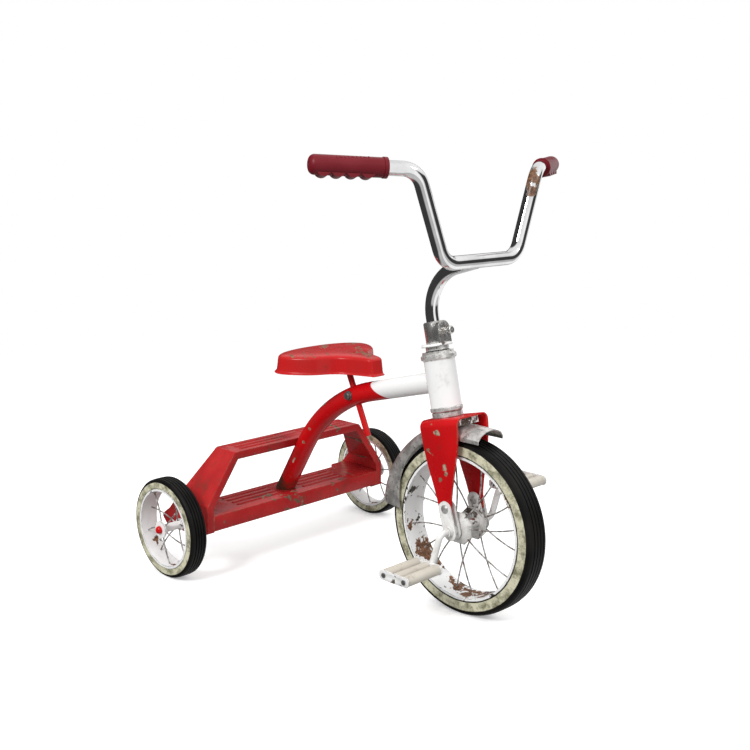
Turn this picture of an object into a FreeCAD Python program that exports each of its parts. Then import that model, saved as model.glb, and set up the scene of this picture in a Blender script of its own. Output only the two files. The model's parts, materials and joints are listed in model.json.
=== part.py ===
import FreeCAD, Part
import math
import os
from FreeCAD import Placement, Rotation, Vector

# Children's tricycle: pressed-steel steps, bent backbone, raked head tube, direct-drive front wheel.
# Millimetres. +Z up, -Y forward, +X the rider's left. Origin on the ground under the middle of the object.

# ---- overall sizes ----
front_tyre_radius = 127.0
front_tyre_width = 40.0
rear_tyre_radius = 78.0
rear_tyre_width = 29.0
wheelbase = 411.0
rear_track = 440.0
rake = 12.8
fork_offset = 2.5

# ---- general clearances and sheet sizes ----
running_fit = 0.05
body_gap = 0.4
seam = 0.5

# ---- wheels ----
front_tyre_height = 24.0
rear_tyre_height = 17.0
tread_grooves = 4
tread_groove_width = 1.8
tread_groove_depth = 1.6
rim_wall = 2.0
rim_lip_height = 1.6
rim_lip_wall = 1.4
spoke_diameter = 2.2
spoke_bow = 3.5
front_spokes_per_side = 8
rear_spokes_per_side = 5

# ---- front hub, crank and pedals ----
axle_rod_diameter = 9.5
hub_plate_radius = 25.0
hub_plate_spacing = 36.0
hub_plate_wall = 1.8
hub_plate_dish = 5.0
hub_plate_rim = 3.0
hub_barrel_diameter = 13.0
hub_face_share = 0.94
hub_nose_share = 0.62
crank_throw = 44.0
crank_lean = 11.0
crank_bend_radius = 9.0
crank_axle_end = 56.0
pedal_inner = 72.0
pedal_length = 68.0
pedal_block_spacing = 37.0
pedal_block_diameter = 15.5
pedal_plate_length = 54.0
pedal_plate_height = 14.0
pedal_plate_wall = 2.0
pedal_sleeve_diameter = 13.0
pedal_bolt_diameter = 5.0
pedal_bolt_head = 7.0
pedal_bolt_head_height = 1.6

# ---- fork ----
fork_width = 66.0
fork_tip_width = 70.0
fork_wall = 2.5
tyre_to_crown = 29.5
crown_corner_radius = 11.0
crown_front = 44.0
crown_rear = 26.0
blade_tip_front = 9.0
blade_tip_rear = 13.0
blade_tip_height = 18.0
hanger_wall = 2.2
hanger_width = 23.0
hanger_drop = 14.0
hanger_rivet_height = 31.0
hanger_rivet_diameter = 8.0
hanger_rivet_head = 13.0
axle_bush_diameter = 15.0
axle_bush_length = 18.0
hanger_gap = 5.0
rivet_head_height = 2.6
rivet_shoulder = 2.0

# ---- fender ----
fender_wall = 1.2
fender_width = 54.0
fender_clearance = 20.5
fender_shoulder_drop = 8.0
fender_rear_angle = 4.0
fender_front_angle = 92.0
fender_tip_length = 36.0
fender_skirt_depth = 26.0
fender_edge_rise = 29.0
fender_edge_back = 6.0
fender_bracket_width = 44.0
fender_bracket_wall = 1.6
fender_bracket_forward = 36.0
fender_screw_diameter = 3.5

# ---- head and stem ----
steerer_diameter = 25.4
lower_race_diameter = 44.0
lower_race_height = 8.0
lower_cup_diameter = 47.0
lower_cup_height = 6.4
head_tube_diameter = 44.5
head_tube_wall = 2.0
head_tube_length = 67.0
upper_cup_diameter = 51.0
upper_cup_rim_diameter = 45.0
upper_cup_height = 12.0
neck_diameter = 33.0
neck_height = 6.6
washer_diameter = 45.0
washer_height = 4.0
lug_diameter = 29.0
lug_height = 31.0
lug_face_width = 25.0
lug_face_forward = 18.0
lug_bolt_height = 16.0
lug_bolt_diameter = 6.0
lug_bolt_reach = 15.0
lug_bolt_head = 11.0
lug_collar_length = 3.0
ball_diameter = 4.7
balls_per_race = 14
ball_inset = 1.0
cup_spigot = 8.0
cup_edge = 1.2

# ---- handlebar ----
bar_diameter = 19.0
bar_wall = 1.6
bar_bottom_half = 75.0
bar_bend_half = 123.0
bar_end_half = 244.0
bar_forward = 102.0
bar_bend_forward = 126.0
bar_end_forward = 66.0
bar_bottom_rise = 70.0
bar_bend_rise = 188.0
bar_end_rise = 208.0
bar_bend_radius = 30.0
stem_diameter = 19.0
stem_bore_gap = 0.3
stem_end_slope = 3.0
stem_bend_radius = 62.0
stem_insertion = 70.0
grip_length = 99.0
grip_diameter = 25.0
grip_end_wall = 3.0
grip_ridges = 4
grip_ridge_depth = 2.6
grip_ridge_start = 7.0
grip_ridge_end = 17.0
grip_collar_length = 5.0
grip_collar_step = 0.8

# ---- backbone and seat post ----
backbone_diameter = 30.0
backbone_wall = 1.8
nose_slope = 14.3
leg_slope = 58.0
backbone_bend_radius = 257.0
backbone_head_height = 36.0
backbone_foot_forward = 15.5
post_diameter = 9.5
post_lean = 24.0
post_behind_head = 224.0
post_below_backbone = 65.0
clamp_bolt_diameter = 6.0
clamp_bolt_head = 11.0
clamp_collar_diameter = 14.0
clamp_bolt_rise = 2.0
clamp_head_height = 4.0
clamp_collar_stand = 2.0
clamp_head_rounding = 1.6

# ---- seat ----
seat_wall = 1.4
seat_half_width = 98.0
seat_length = 168.0
seat_skirt = 23.0
seat_crown = 6.0
seat_inset = 8.0
seat_nose_gap = 6.6
seat_nose_before_post = 50.0
seat_nose_half_width = 17.0
bracket_width = 20.0
bracket_length = 58.0
bracket_wall = 2.0
seat_rivet_diameter = 4.5
seat_rivet_head = 1.0
bracket_socket_diameter = 17.0
bracket_socket_drop = 4.0

# ---- steps ----
step_sheet = 1.6
deck_above_axle = 19.0
deck_front = 55.0
deck_rear = 21.0
deck_end_rear = 35.0
deck_end_length = 36.0
deck_notch_run = 12.0
deck_end_radius = 12.0
deck_front_radius = 3.0
deck_front_flange = 24.0
deck_rear_flange = 12.0
deck_ribs = 4
bridge_height = 94.0
bridge_half_width = 134.0
bridge_rear = 6.0
bridge_flange = 12.0
bridge_ribs = 3
rib_sink = 0.4
bridge_corner_radius = 9.0
tab_top_above_axle = 35.0
tab_bottom_below_axle = 17.0
tab_rear = 66.0
tab_front_lift = 11.0
tab_front_slant = 24.0
tab_corner = 12.0
tab_shoulder = 46.0
tab_shoulder_rise = 14.0
strip_rear_at_tab = 27.0
strip_edge_drop = 4.0
rib_height = 2.2
rib_width = 6.5
rib_start = 26.0
rib_end = 112.0
rear_axle_diameter = 9.5
rear_hub_diameter = 13.0
rear_hub_bore_clearance = 0.06
rear_hub_inner_flange = 19.0
rear_hub_outer_flange = 27.0
rear_hub_flange_wall = 3.0
rear_hub_half_length = 19.0
rear_spoke_inset = 2.5
rear_washer_diameter = 17.0
rear_cap_diameter = 12.0
rear_cap_height = 6.0
rear_spacer_room = 12.0

# ---- places worked out from the sizes above ----
front_axle = Vector(0, (front_tyre_radius - wheelbase - rear_tyre_radius) / 2, front_tyre_radius)
rear_axle = Vector(0, front_axle.y + wheelbase, rear_tyre_radius)
front_rim_radius = front_tyre_radius - front_tyre_height
rear_rim_radius = rear_tyre_radius - rear_tyre_height
lean = math.radians(rake)
axis_up = Vector(0, math.sin(lean), math.cos(lean))
axis_forward = Vector(0, -math.cos(lean), math.sin(lean))
steering_foot = front_axle - axis_forward * fork_offset
crown_top = front_tyre_radius + tyre_to_crown
lower_race_top = crown_top + lower_race_height
head_bottom = lower_race_top + body_gap + lower_cup_height
head_top = head_bottom + head_tube_length
upper_cup_top = head_top + upper_cup_height
neck_top = upper_cup_top + body_gap + neck_height
lug_bottom = neck_top + washer_height
lug_top = lug_bottom + lug_height
fender_radius = front_tyre_radius + fender_clearance
fender_edge_radius = front_tyre_radius - fender_skirt_depth
deck_top = rear_axle.z + deck_above_axle
bridge_top = deck_top + bridge_height
tab_half_spacing = rear_track / 2 - rear_hub_half_length - rear_spacer_room
deck_half_width = tab_half_spacing - step_sheet
stem_bore = stem_diameter + 2 * running_fit
crank_angle = math.radians(crank_lean)
pedal_back = crank_throw * math.sin(crank_angle)
pedal_drop = crank_throw * math.cos(crank_angle)


def write(name, shape):
    """Write one node as a STEP file."""
    if not shape.isValid():
        raise ValueError(name + " is not a valid solid")
    shape.exportStep("parts/" + name + ".step")
    print(name, "solids", len(shape.Solids), "volume", round(shape.Volume))


def group(pieces):
    """Join separate solids into one group for a node."""
    return Part.makeCompound(pieces)


def in_steering(shape):
    """Move a shape from the upright steering frame (x, -forward, up) to its raked place."""
    placed = shape.copy()
    placed.Placement = Placement(steering_foot, Rotation(Vector(1, 0, 0), -rake)).multiply(placed.Placement)
    return placed


def mirrored(shape):
    """The same piece on the rider's other side."""
    return shape.mirror(Vector(0, 0, 0), Vector(1, 0, 0))


def rod(start, end, diameter):
    """A round bar from one point to another."""
    run = end - start
    return Part.makeCylinder(diameter / 2, run.Length, start, run)


def tube(start, end, diameter, bore):
    """A round bar with a hole right through it."""
    return rod(start, end, diameter).cut(rod(start, end, bore))


def x_rod(x0, x1, y, z, diameter):
    """A round bar lying across the object."""
    return rod(Vector(x0, y, z), Vector(x1, y, z), diameter)


def x_tube(x0, x1, y, z, diameter, bore):
    """A round sleeve lying across the object."""
    return tube(Vector(x0, y, z), Vector(x1, y, z), diameter, bore)


def polygon_face(points):
    """A flat face inside a closed run of straight edges."""
    return Part.Face(Part.makePolygon(points + [points[0]]))


def spline_edge(points):
    """A smooth edge through a few points."""
    curve = Part.BSplineCurve()
    curve.interpolate(points)
    return curve.toShape()


def rounded_path(points, radii):
    """A wire of straight runs with a tangent arc at each inner point."""
    edges = []
    start = points[0]
    for index in range(1, len(points) - 1):
        corner = points[index]
        back = (points[index - 1] - corner).normalize()
        ahead = (points[index + 1] - corner).normalize()
        half = back.getAngle(ahead) / 2
        radius = radii[index - 1]
        reach = radius / math.tan(half)
        first = corner + back * reach
        last = corner + ahead * reach
        inward = (back + ahead).normalize()
        middle = corner + inward * (radius / math.sin(half) - radius)
        edges.append(Part.LineSegment(start, first).toShape())
        edges.append(Part.Arc(first, middle, last).toShape())
        start = last
    edges.append(Part.LineSegment(start, points[-1]).toShape())
    return Part.Wire(edges)


def swept_rod(path, diameter):
    """A round section carried along a path."""
    first = path.Edges[0]
    start = first.valueAt(first.FirstParameter)
    along = first.tangentAt(first.FirstParameter)
    section = Part.Wire(Part.makeCircle(diameter / 2, start, along))
    return path.makePipeShell([section], True, False)


def swept_tube(path, diameter, wall):
    """A bent tube, open at both ends."""
    return swept_rod(path, diameter).cut(swept_rod(path, diameter - 2 * wall))


def turned(points, centre):
    """Turn a closed (x, radius) outline about the line across the object through centre."""
    face = polygon_face([Vector(x, centre.y, centre.z + radius) for x, radius in points])
    return face.revolve(centre, Vector(1, 0, 0), 360)


def spun(points):
    """Turn a closed (radius, up) outline about the steering axis, in the steering frame."""
    face = polygon_face([Vector(radius, 0, up) for radius, up in points])
    return face.revolve(Vector(0, 0, 0), Vector(0, 0, 1), 360)


# ---- wheels ----
def tyre(centre, radius, width, height):
    """Solid rubber tyre with a seat for the rim and grooves round its tread."""
    half = width / 2
    seat = radius - height
    outline = [(-half + rim_lip_wall, seat), (half - rim_lip_wall, seat)]
    outline += [(half - rim_lip_wall, seat + rim_lip_height + seam), (half, seat + rim_lip_height + 2 * seam)]
    outline += [(half, radius - 0.36 * height), (0.88 * half, radius - 0.12 * height)]
    outline += [(0.74 * half, radius - 0.03 * height), (0.5 * half, radius)]
    outline += [(-x, r) for x, r in reversed(outline[2:])]
    solid = turned([(x + centre.x, r) for x, r in outline], centre)
    pitch = 1.3 * half / tread_grooves
    for index in range(tread_grooves):
        x = centre.x + (index - (tread_grooves - 1) / 2) * pitch
        solid = solid.cut(ring(x, tread_groove_width, radius - tread_groove_depth, radius + 1, centre))
    return solid


def ring(x, width, inner, outer, centre):
    """A flat ring of square section about the line across the object through centre."""
    left = Vector(x - width / 2, centre.y, centre.z)
    right = Vector(x + width / 2, centre.y, centre.z)
    return tube(left, right, 2 * outer, 2 * inner)


def rim(centre, radius, width):
    """Channel rim: a wide band with a lip on each side that holds the tyre."""
    half = width / 2
    inner = radius - rim_wall
    outline = [(-half, inner), (half, inner), (half, radius + rim_lip_height)]
    outline += [(half - rim_lip_wall, radius + rim_lip_height), (half - rim_lip_wall, radius)]
    outline += [(-half + rim_lip_wall, radius), (-half + rim_lip_wall, radius + rim_lip_height)]
    outline += [(-half, radius + rim_lip_height)]
    return turned([(x + centre.x, r) for x, r in outline], centre)


def spoke(centre, angle, hub_radius, hub_x, rim_radius, rim_x):
    """One wire with a slight bow, from a hub flange out to the rim."""
    outward = Vector(0, math.cos(angle), math.sin(angle))
    sideways = Vector(0, -math.sin(angle), math.cos(angle))
    start = centre + outward * hub_radius + Vector(hub_x, 0, 0)
    end = centre + outward * rim_radius + Vector(rim_x, 0, 0)
    middle = (start + end) * 0.5 + sideways * spoke_bow
    arc = Part.Arc(start, middle, end).toShape()
    return swept_rod(Part.Wire(arc), spoke_diameter)


def spoke_set(centre, per_side, hub_radius, hub_half, rim_radius, rim_half):
    """Two staggered rings of wires, one to each hub flange."""
    wires = []
    step = 2 * math.pi / per_side
    for side in (-1, 1):
        for index in range(per_side):
            angle = (index + 0.25 * side) * step
            wires.append(spoke(centre, angle, hub_radius, side * hub_half, rim_radius, side * rim_half))
    return group(wires)


def hub_plate(side):
    """Eight-sided dished spoke plate of the front hub, its rim turned inwards."""
    lip = hub_plate_spacing / 2 - hub_plate_rim
    outer = eight_sided(side, hub_plate_radius, lip)
    inner = eight_sided(side, hub_plate_radius - hub_plate_wall, lip - hub_plate_wall)
    bore = x_rod(-hub_plate_spacing, hub_plate_spacing, front_axle.y, front_axle.z, hub_barrel_diameter)
    return outer.cut(inner).cut(bore)


def eight_sided(side, radius, lip):
    """Stepped eight-sided solid: a flat ring whose middle stands out as a low dome."""
    face_x = side * (lip + hub_plate_rim)
    nose_x = face_x + side * hub_plate_dish
    wires = [octagon(radius, side * lip), octagon(radius * hub_face_share, face_x)]
    wires.append(octagon(radius * hub_nose_share, nose_x))
    return Part.makeLoft(wires, True, True)


def octagon(radius, x):
    """Closed eight-sided wire about the front axle."""
    points = []
    for index in range(9):
        angle = (index + 0.5) * math.pi / 4
        points.append(front_axle + Vector(x, radius * math.cos(angle), radius * math.sin(angle)))
    return Part.makePolygon(points)


def front_wheel():
    """Front wheel: everything that turns with the crank."""
    half = hub_plate_spacing / 2
    reach = half + hub_plate_dish
    write("front_tyre", tyre(front_axle, front_tyre_radius, front_tyre_width, front_tyre_height))
    write("front_rim", rim(front_axle, front_rim_radius, front_tyre_width))
    hub_radius = hub_face_share * hub_plate_radius - spoke_diameter
    rim_radius = front_rim_radius - rim_wall / 2
    wires = spoke_set(front_axle, front_spokes_per_side, hub_radius, half, rim_radius, front_tyre_width / 8)
    write("front_spokes", wires)
    write("front_hub_plate_right", hub_plate(-1))
    write("front_hub_plate_left", hub_plate(1))
    barrel = x_tube(-reach, reach, front_axle.y, front_axle.z, hub_barrel_diameter, axle_rod_diameter)
    write("front_hub_barrel", barrel)
    write("crank_axle", crank_axle())


def pedal_centre(side):
    """Where a pedal's pin lies: the rider's right pedal is down, the left one up."""
    return front_axle + Vector(0, -side * pedal_back, side * pedal_drop)


def crank_axle():
    """One rod bent into the axle, both crank arms and both pedal pins."""
    end_x = pedal_inner + pedal_length - pedal_plate_wall - seam
    low = pedal_centre(-1)
    high = pedal_centre(1)
    points = [Vector(-end_x, low.y, low.z), Vector(-crank_axle_end - 6, low.y, low.z)]
    points += [Vector(-crank_axle_end, front_axle.y, front_axle.z)]
    points += [Vector(crank_axle_end, front_axle.y, front_axle.z)]
    points += [Vector(crank_axle_end + 6, high.y, high.z), Vector(end_x, high.y, high.z)]
    return swept_rod(rounded_path(points, [crank_bend_radius] * 4), axle_rod_diameter)


def pedal(side, word):
    """Pedal: two end plates, two round blocks on bolts and a sleeve on the pin."""
    centre = pedal_centre(side)
    near = side * pedal_inner
    far = side * (pedal_inner + pedal_length)
    wall = side * pedal_plate_wall
    half = pedal_block_spacing / 2
    pin = axle_rod_diameter + 2 * running_fit
    pin_hole = x_rod(near, near + wall, centre.y, centre.z, pin)
    inner_plate = pedal_plate(near, near + wall, centre).cut(pin_hole)
    outer_plate = pedal_plate(far - wall, far, centre)
    blocks = []
    bolts = []
    for shift in (-half, half):
        y = centre.y + shift
        bore = x_rod(near, far, y, centre.z, pedal_bolt_diameter)
        inner_plate = inner_plate.cut(bore)
        outer_plate = outer_plate.cut(bore)
        block = x_rod(near + wall, far - wall, y, centre.z, pedal_block_diameter).cut(bore)
        blocks.append(block)
        bolts.append(pedal_bolt(side, near, far, y, centre.z))
    sleeve = x_tube(near + wall, far - wall, centre.y, centre.z, pedal_sleeve_diameter, pin)
    write("pedal_" + word + "_plates", group([inner_plate, outer_plate]))
    write("pedal_" + word + "_blocks", group(blocks))
    write("pedal_" + word + "_sleeve", sleeve)
    write("pedal_" + word + "_bolts", group(bolts))


def pedal_plate(x0, x1, centre):
    """Flat end plate with clipped corners."""
    long = pedal_plate_length / 2
    tall = pedal_plate_height / 2
    cut = tall / 2
    outline = [(-long, -tall + cut), (-long + cut, -tall), (long - cut, -tall), (long, -tall + cut)]
    outline += [(long, tall - cut), (long - cut, tall), (-long + cut, tall), (-long, tall - cut)]
    face = polygon_face([Vector(x0, centre.y + y, centre.z + z) for y, z in outline])
    return face.extrude(Vector(x1 - x0, 0, 0))


def pedal_bolt(side, near, far, y, z):
    """Through bolt of one pedal block with a low head at each end."""
    shank = x_rod(near, far, y, z, pedal_bolt_diameter)
    height = side * pedal_bolt_head_height
    outer_head = x_rod(far, far + height, y, z, pedal_bolt_head)
    inner_head = x_rod(near, near - height, y, z, pedal_bolt_head)
    return shank.fuse([outer_head, inner_head]).removeSplitter()


# ---- fork, hangers and fender ----
def fork():
    """Pressed fork: a flat crown and two wide blades that taper down to the hangers."""
    outer = fork_section(fork_width / 2, fork_tip_width / 2, crown_top, crown_corner_radius)
    inner = fork_section(fork_width / 2 - fork_wall, fork_tip_width / 2 - fork_wall, crown_top - fork_wall,
                         crown_corner_radius - fork_wall)
    shape = outer.cut(inner).common(fork_side_view())
    shape = shape.cut(x_rod(-fork_tip_width, fork_tip_width, 0, hanger_rivet_height, hanger_rivet_diameter))
    screw = Part.makeCylinder(fender_screw_diameter / 2, 20, Vector(0, fender_screw_place(), crown_top - 10))
    return shape.cut(Part.makeCylinder(steerer_diameter / 2, 20, Vector(0, 0, crown_top - 10))).cut(screw)


def fork_section(half, tip_half, top, radius):
    """Solid block with two rounded top edges, as wide as the fork."""
    depth = crown_front + crown_rear + 10
    bottom = blade_tip_height - 1
    y = -crown_front - 5
    corners = [(-tip_half, bottom), (tip_half, bottom), (half, top), (-half, top)]
    block = polygon_face([Vector(x, y, z) for x, z in corners]).extrude(Vector(0, depth, 0))
    edges = []
    for edge in block.Edges:
        middle = edge.CenterOfMass
        if abs(middle.z - top) < 1e-6 and abs(middle.x) > half - 1:
            edges.append(edge)
    return block.makeFillet(radius, edges)


def fork_side_view():
    """The blades' outline seen from the side, as a block right across the fork."""
    half = fork_tip_width / 2
    span = crown_top - blade_tip_height
    front = [(crown_front, 1.0), (0.78 * crown_front, 0.63), (0.43 * crown_front, 0.32)]
    front += [(0.26 * crown_front, 0.14), (blade_tip_front, 0.0)]
    rear = [(-blade_tip_rear, 0.0), (-0.5 * crown_rear, 0.16), (-0.77 * crown_rear, 0.48)]
    rear += [(-0.95 * crown_rear, 0.75), (-crown_rear, 1.0)]
    levels = []
    for run in (front, rear):
        levels.append([Vector(-half - 1, -f, blade_tip_height + span * share) for f, share in run])
    tip = Part.LineSegment(levels[0][-1], levels[1][0]).toShape()
    top = Part.LineSegment(levels[1][-1], levels[0][0]).toShape()
    outline = Part.Wire([spline_edge(levels[0]), tip, spline_edge(levels[1]), top])
    return Part.Face(outline).extrude(Vector(fork_tip_width + 2, 0, 0))


def hanger_strap(x0, x1):
    """One upright strap with round ends, from the blade's rivet down round the axle bush."""
    radius = hanger_width / 2
    forward = fork_offset
    lower = -hanger_drop + radius
    middle = [Vector(x0, -forward - radius, lower), Vector(x0, radius - forward, lower)]
    middle += [Vector(x0, radius, hanger_rivet_height), Vector(x0, -radius, hanger_rivet_height)]
    strap = polygon_face(middle).extrude(Vector(x1 - x0, 0, 0))
    top_end = x_rod(x0, x1, 0, hanger_rivet_height, hanger_width)
    bottom_end = x_rod(x0, x1, -forward, lower, hanger_width)
    strap = strap.fuse([top_end, bottom_end]).removeSplitter()
    strap = strap.cut(x_rod(x0 - 1, x1 + 1, 0, hanger_rivet_height, hanger_rivet_diameter))
    return strap.cut(x_rod(x0 - 1, x1 + 1, -forward, 0, axle_bush_diameter))


def hangers():
    """Axle hangers: an inner and an outer strap on each blade, with bushes and shouldered rivets."""
    outer = fork_tip_width / 2
    inner = outer - fork_wall - hanger_gap
    straps = group([hanger_strap(outer, outer + hanger_wall), hanger_strap(inner - hanger_wall, inner)])
    left = inner - hanger_wall
    bush_bore = axle_rod_diameter + 2 * running_fit
    bush = x_tube(left, left + axle_bush_length, -fork_offset, 0, axle_bush_diameter, bush_bore)
    shank = x_rod(inner - hanger_wall, outer + hanger_wall, 0, hanger_rivet_height, hanger_rivet_diameter)
    shoulder_end = inner + hanger_gap - body_gap
    shoulder = x_rod(inner, shoulder_end, 0, hanger_rivet_height, hanger_rivet_diameter + 2 * rivet_shoulder)
    outer_head = rivet_head(outer + hanger_wall, 1, 0, hanger_rivet_height)
    inner_head = rivet_head(inner - hanger_wall, -1, 0, hanger_rivet_height)
    rivet = shank.fuse([shoulder, outer_head, inner_head]).removeSplitter()
    write("bearing_hanger_left", in_steering(straps))
    write("bearing_hanger_right", in_steering(mirrored(straps)))
    write("axle_bushes", in_steering(group([bush, mirrored(bush)])))
    write("hanger_rivets", in_steering(group([rivet, mirrored(rivet)])))


def rivet_head(x, side, y, z):
    """Low domed rivet head standing on a face at x."""
    height = rivet_head_height
    radius = hanger_rivet_head / 2
    sphere_radius = (radius * radius + height * height) / (2 * height)
    ball = Part.makeSphere(sphere_radius, Vector(x + side * (height - sphere_radius), y, z))
    keep = x_rod(x, x + side * (height + 1), y, z, 2 * hanger_rivet_head)
    return ball.common(keep)


def fender_section(radius):
    """Closed outline of the arched sheet, at the top of the wheel."""
    half = fender_width / 2
    shoulder = radius - fender_shoulder_drop
    skirt = fender_edge_radius
    outer = fender_wire(half, radius, shoulder, skirt)
    inner = fender_wire(half - fender_wall, radius - fender_wall, shoulder - fender_wall, skirt)
    outer_face = Part.Face(Part.Wire(outer))
    inner_face = Part.Face(Part.Wire(inner))
    return outer_face.cut(inner_face).Faces[0]


def fender_wire(half, crown, shoulder, skirt):
    """Edges of one outline: an arc over the top and a straight skirt down each side."""
    left = front_axle + Vector(-half, 0, skirt)
    right = front_axle + Vector(half, 0, skirt)
    left_shoulder = front_axle + Vector(-half, 0, shoulder - 4)
    right_shoulder = front_axle + Vector(half, 0, shoulder - 4)
    left_arc = front_axle + Vector(-0.82 * half, 0, shoulder + 2)
    right_arc = front_axle + Vector(0.82 * half, 0, shoulder + 2)
    top = front_axle + Vector(0, 0, crown)
    arch = Part.Arc(left_arc, top, right_arc).toShape()
    runs = [(left, left_shoulder), (left_shoulder, left_arc), (right_arc, right_shoulder)]
    runs += [(right_shoulder, right), (right, left)]
    edges = [Part.LineSegment(start, end).toShape() for start, end in runs]
    return edges[:2] + [arch] + edges[2:]


def fender():
    """Mudguard close over the tyre, with a straight tip that flares forward past the crown."""
    section = fender_section(fender_radius)
    across = Vector(1, 0, 0)
    arc = section.copy()
    arc.rotate(front_axle, across, fender_rear_angle - 90)
    sweep = arc.revolve(front_axle, across, fender_front_angle - fender_rear_angle)
    tip = section.copy()
    tip.rotate(front_axle, across, fender_front_angle - 90)
    turn = math.radians(fender_front_angle)
    tip = tip.extrude(Vector(0, -math.sin(turn), math.cos(turn)) * fender_tip_length)
    shape = sweep.fuse(tip).removeSplitter()
    centre = front_axle + Vector(-fender_width, fender_edge_back, fender_edge_rise)
    trim = Part.makeCylinder(fender_edge_radius, 2 * fender_width, centre, across)
    low = front_axle.z + fender_edge_radius + fender_edge_rise - 1
    apron = Part.makeBox(2 * fender_width, 3 * fender_tip_length, low, Vector(-fender_width, 0, 0))
    apron.translate(Vector(0, front_axle.y - 3 * fender_tip_length, 0))
    clear = x_rod(-fender_width, fender_width, front_axle.y, front_axle.z, 2 * fender_radius)
    write("fender", keep_largest(shape.cut(trim).cut(apron)))
    write("fender_bracket", keep_largest(in_steering(fender_bracket_solid()).cut(clear)))
    write("fender_screw", in_steering(fender_screw()))


def keep_largest(shape):
    """Drop slivers that a cut leaves behind."""
    return max(shape.Solids, key=lambda solid: solid.Volume)


def fender_bracket_solid():
    """Upright plate under the crown that the mudguard hangs from, with a flat foot against the crown."""
    half = fender_bracket_width / 2
    under = crown_top - fork_wall
    height = under - 0.9 * front_tyre_radius
    depth = fender_bracket_forward - steerer_diameter / 2 - 1
    corner = Vector(-half, -fender_bracket_forward, under - height)
    upright = Part.makeBox(fender_bracket_width, fender_bracket_wall, height, corner)
    foot_corner = Vector(-half, -fender_bracket_forward, under - fender_bracket_wall)
    foot = Part.makeBox(fender_bracket_width, depth, fender_bracket_wall, foot_corner)
    screw = Part.makeCylinder(fender_screw_diameter / 2, 20, Vector(0, fender_screw_place(), crown_top - 10))
    return upright.fuse(foot).removeSplitter().cut(screw)


def fender_screw_place():
    """Place of the bracket's screw along the crown, in the steering frame."""
    return -(fender_bracket_forward + steerer_diameter / 2) / 2


def fender_screw():
    """Screw that holds the bracket's foot up against the crown."""
    under = crown_top - fork_wall - fender_bracket_wall
    place = Vector(0, fender_screw_place(), 0)
    shank = rod(place + Vector(0, 0, under), place + Vector(0, 0, crown_top), fender_screw_diameter)
    head_solid = rod(place + Vector(0, 0, under - 2), place + Vector(0, 0, under), 2 * fender_screw_diameter)
    return shank.fuse(head_solid).removeSplitter()


# ---- head bearing and stem clamp ----
def head():
    """Head tube with its pressed cups, and the fork's races, washer and stem lug."""
    steerer_bore = steerer_diameter + 2 * running_fit
    steerer_bottom = Vector(0, 0, crown_top - fork_wall)
    inside = stem_diameter + 2 * stem_bore_gap
    steerer = tube(steerer_bottom, Vector(0, 0, lug_bottom), steerer_diameter, inside)
    write("steerer_tube", in_steering(steerer))
    head_bore = head_tube_diameter - 2 * head_tube_wall
    barrel = tube(Vector(0, 0, head_bottom), Vector(0, 0, head_top), head_tube_diameter, head_bore)
    write("head_tube", in_steering(barrel))
    write("lower_race", in_steering(lower_race()))
    write("head_cup_lower", in_steering(lower_cup(steerer_bore, head_bore)))
    write("head_cup_upper", in_steering(upper_cup(steerer_bore, head_bore)))
    low_z = lower_race_top + ball_inset
    high_z = upper_cup_top - ball_inset
    write("head_balls", in_steering(group([ball_ring(low_z), ball_ring(high_z)])))
    neck_bottom = Vector(0, 0, upper_cup_top + body_gap)
    neck = tube(neck_bottom, Vector(0, 0, neck_top), neck_diameter, steerer_diameter)
    write("head_cone_upper", in_steering(neck.cut(ball_track(high_z))))
    write("lock_washer", in_steering(lock_washer()))


def lock_washer():
    """Washer between the upper cone and the stem lug, its upper edge bevelled."""
    inner = steerer_diameter / 2
    outer = washer_diameter / 2
    points = [(inner, neck_top), (outer - 1, neck_top), (outer, neck_top + 1)]
    points += [(outer - 1.5, lug_bottom), (inner, lug_bottom)]
    return spun(points)


def ball_radius_line():
    """Distance of the bearing balls' centres from the steering axis."""
    return steerer_diameter / 2 + ball_diameter / 2 + 0.6


def ball_ring(height):
    """One ring of loose bearing balls."""
    balls = []
    for index in range(balls_per_race):
        angle = 2 * math.pi * index / balls_per_race
        place = Vector(math.cos(angle), math.sin(angle), 0) * ball_radius_line()
        balls.append(Part.makeSphere(ball_diameter / 2, place + Vector(0, 0, height)))
    return group(balls)


def ball_track(height):
    """Ring-shaped space for the balls, with clearance."""
    return Part.makeTorus(ball_radius_line(), ball_diameter / 2 + body_gap, Vector(0, 0, height))


def lower_race():
    """Fork crown race under the lower cup."""
    inner = steerer_diameter / 2
    outer = lower_race_diameter / 2
    race = spun([(inner, crown_top), (outer - 1, crown_top), (outer, crown_top + 1),
                 (outer, lower_race_top - 1.5), (outer - 1.5, lower_race_top), (inner, lower_race_top)])
    return race.cut(ball_track(lower_race_top + ball_inset))


def lower_cup(bore, head_bore):
    """Cup pressed into the bottom of the head tube."""
    start = lower_race_top + body_gap
    outer = lower_cup_diameter / 2
    spigot = head_bore / 2
    end = head_bottom + cup_spigot
    points = [(bore / 2, start), (outer - cup_edge, start), (outer, start + cup_edge)]
    points += [(outer, head_bottom - cup_edge), (outer - cup_edge, head_bottom)]
    points += [(spigot, head_bottom), (spigot, end), (bore / 2, end)]
    return spun(points).cut(ball_track(lower_race_top + ball_inset))


def upper_cup(bore, head_bore):
    """Bulged cup pressed into the top of the head tube."""
    outer = upper_cup_diameter / 2
    rim_radius = upper_cup_rim_diameter / 2
    spigot = head_bore / 2
    third = upper_cup_height / 3
    start = head_top - cup_spigot
    points = [(bore / 2, start), (spigot, start), (spigot, head_top), (rim_radius, head_top)]
    points += [(outer, head_top + third / 2), (outer, head_top + 1.6 * third)]
    points += [(rim_radius, head_top + 2.3 * third), (rim_radius, upper_cup_top), (bore / 2, upper_cup_top)]
    return spun(points).cut(ball_track(upper_cup_top - ball_inset))


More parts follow.
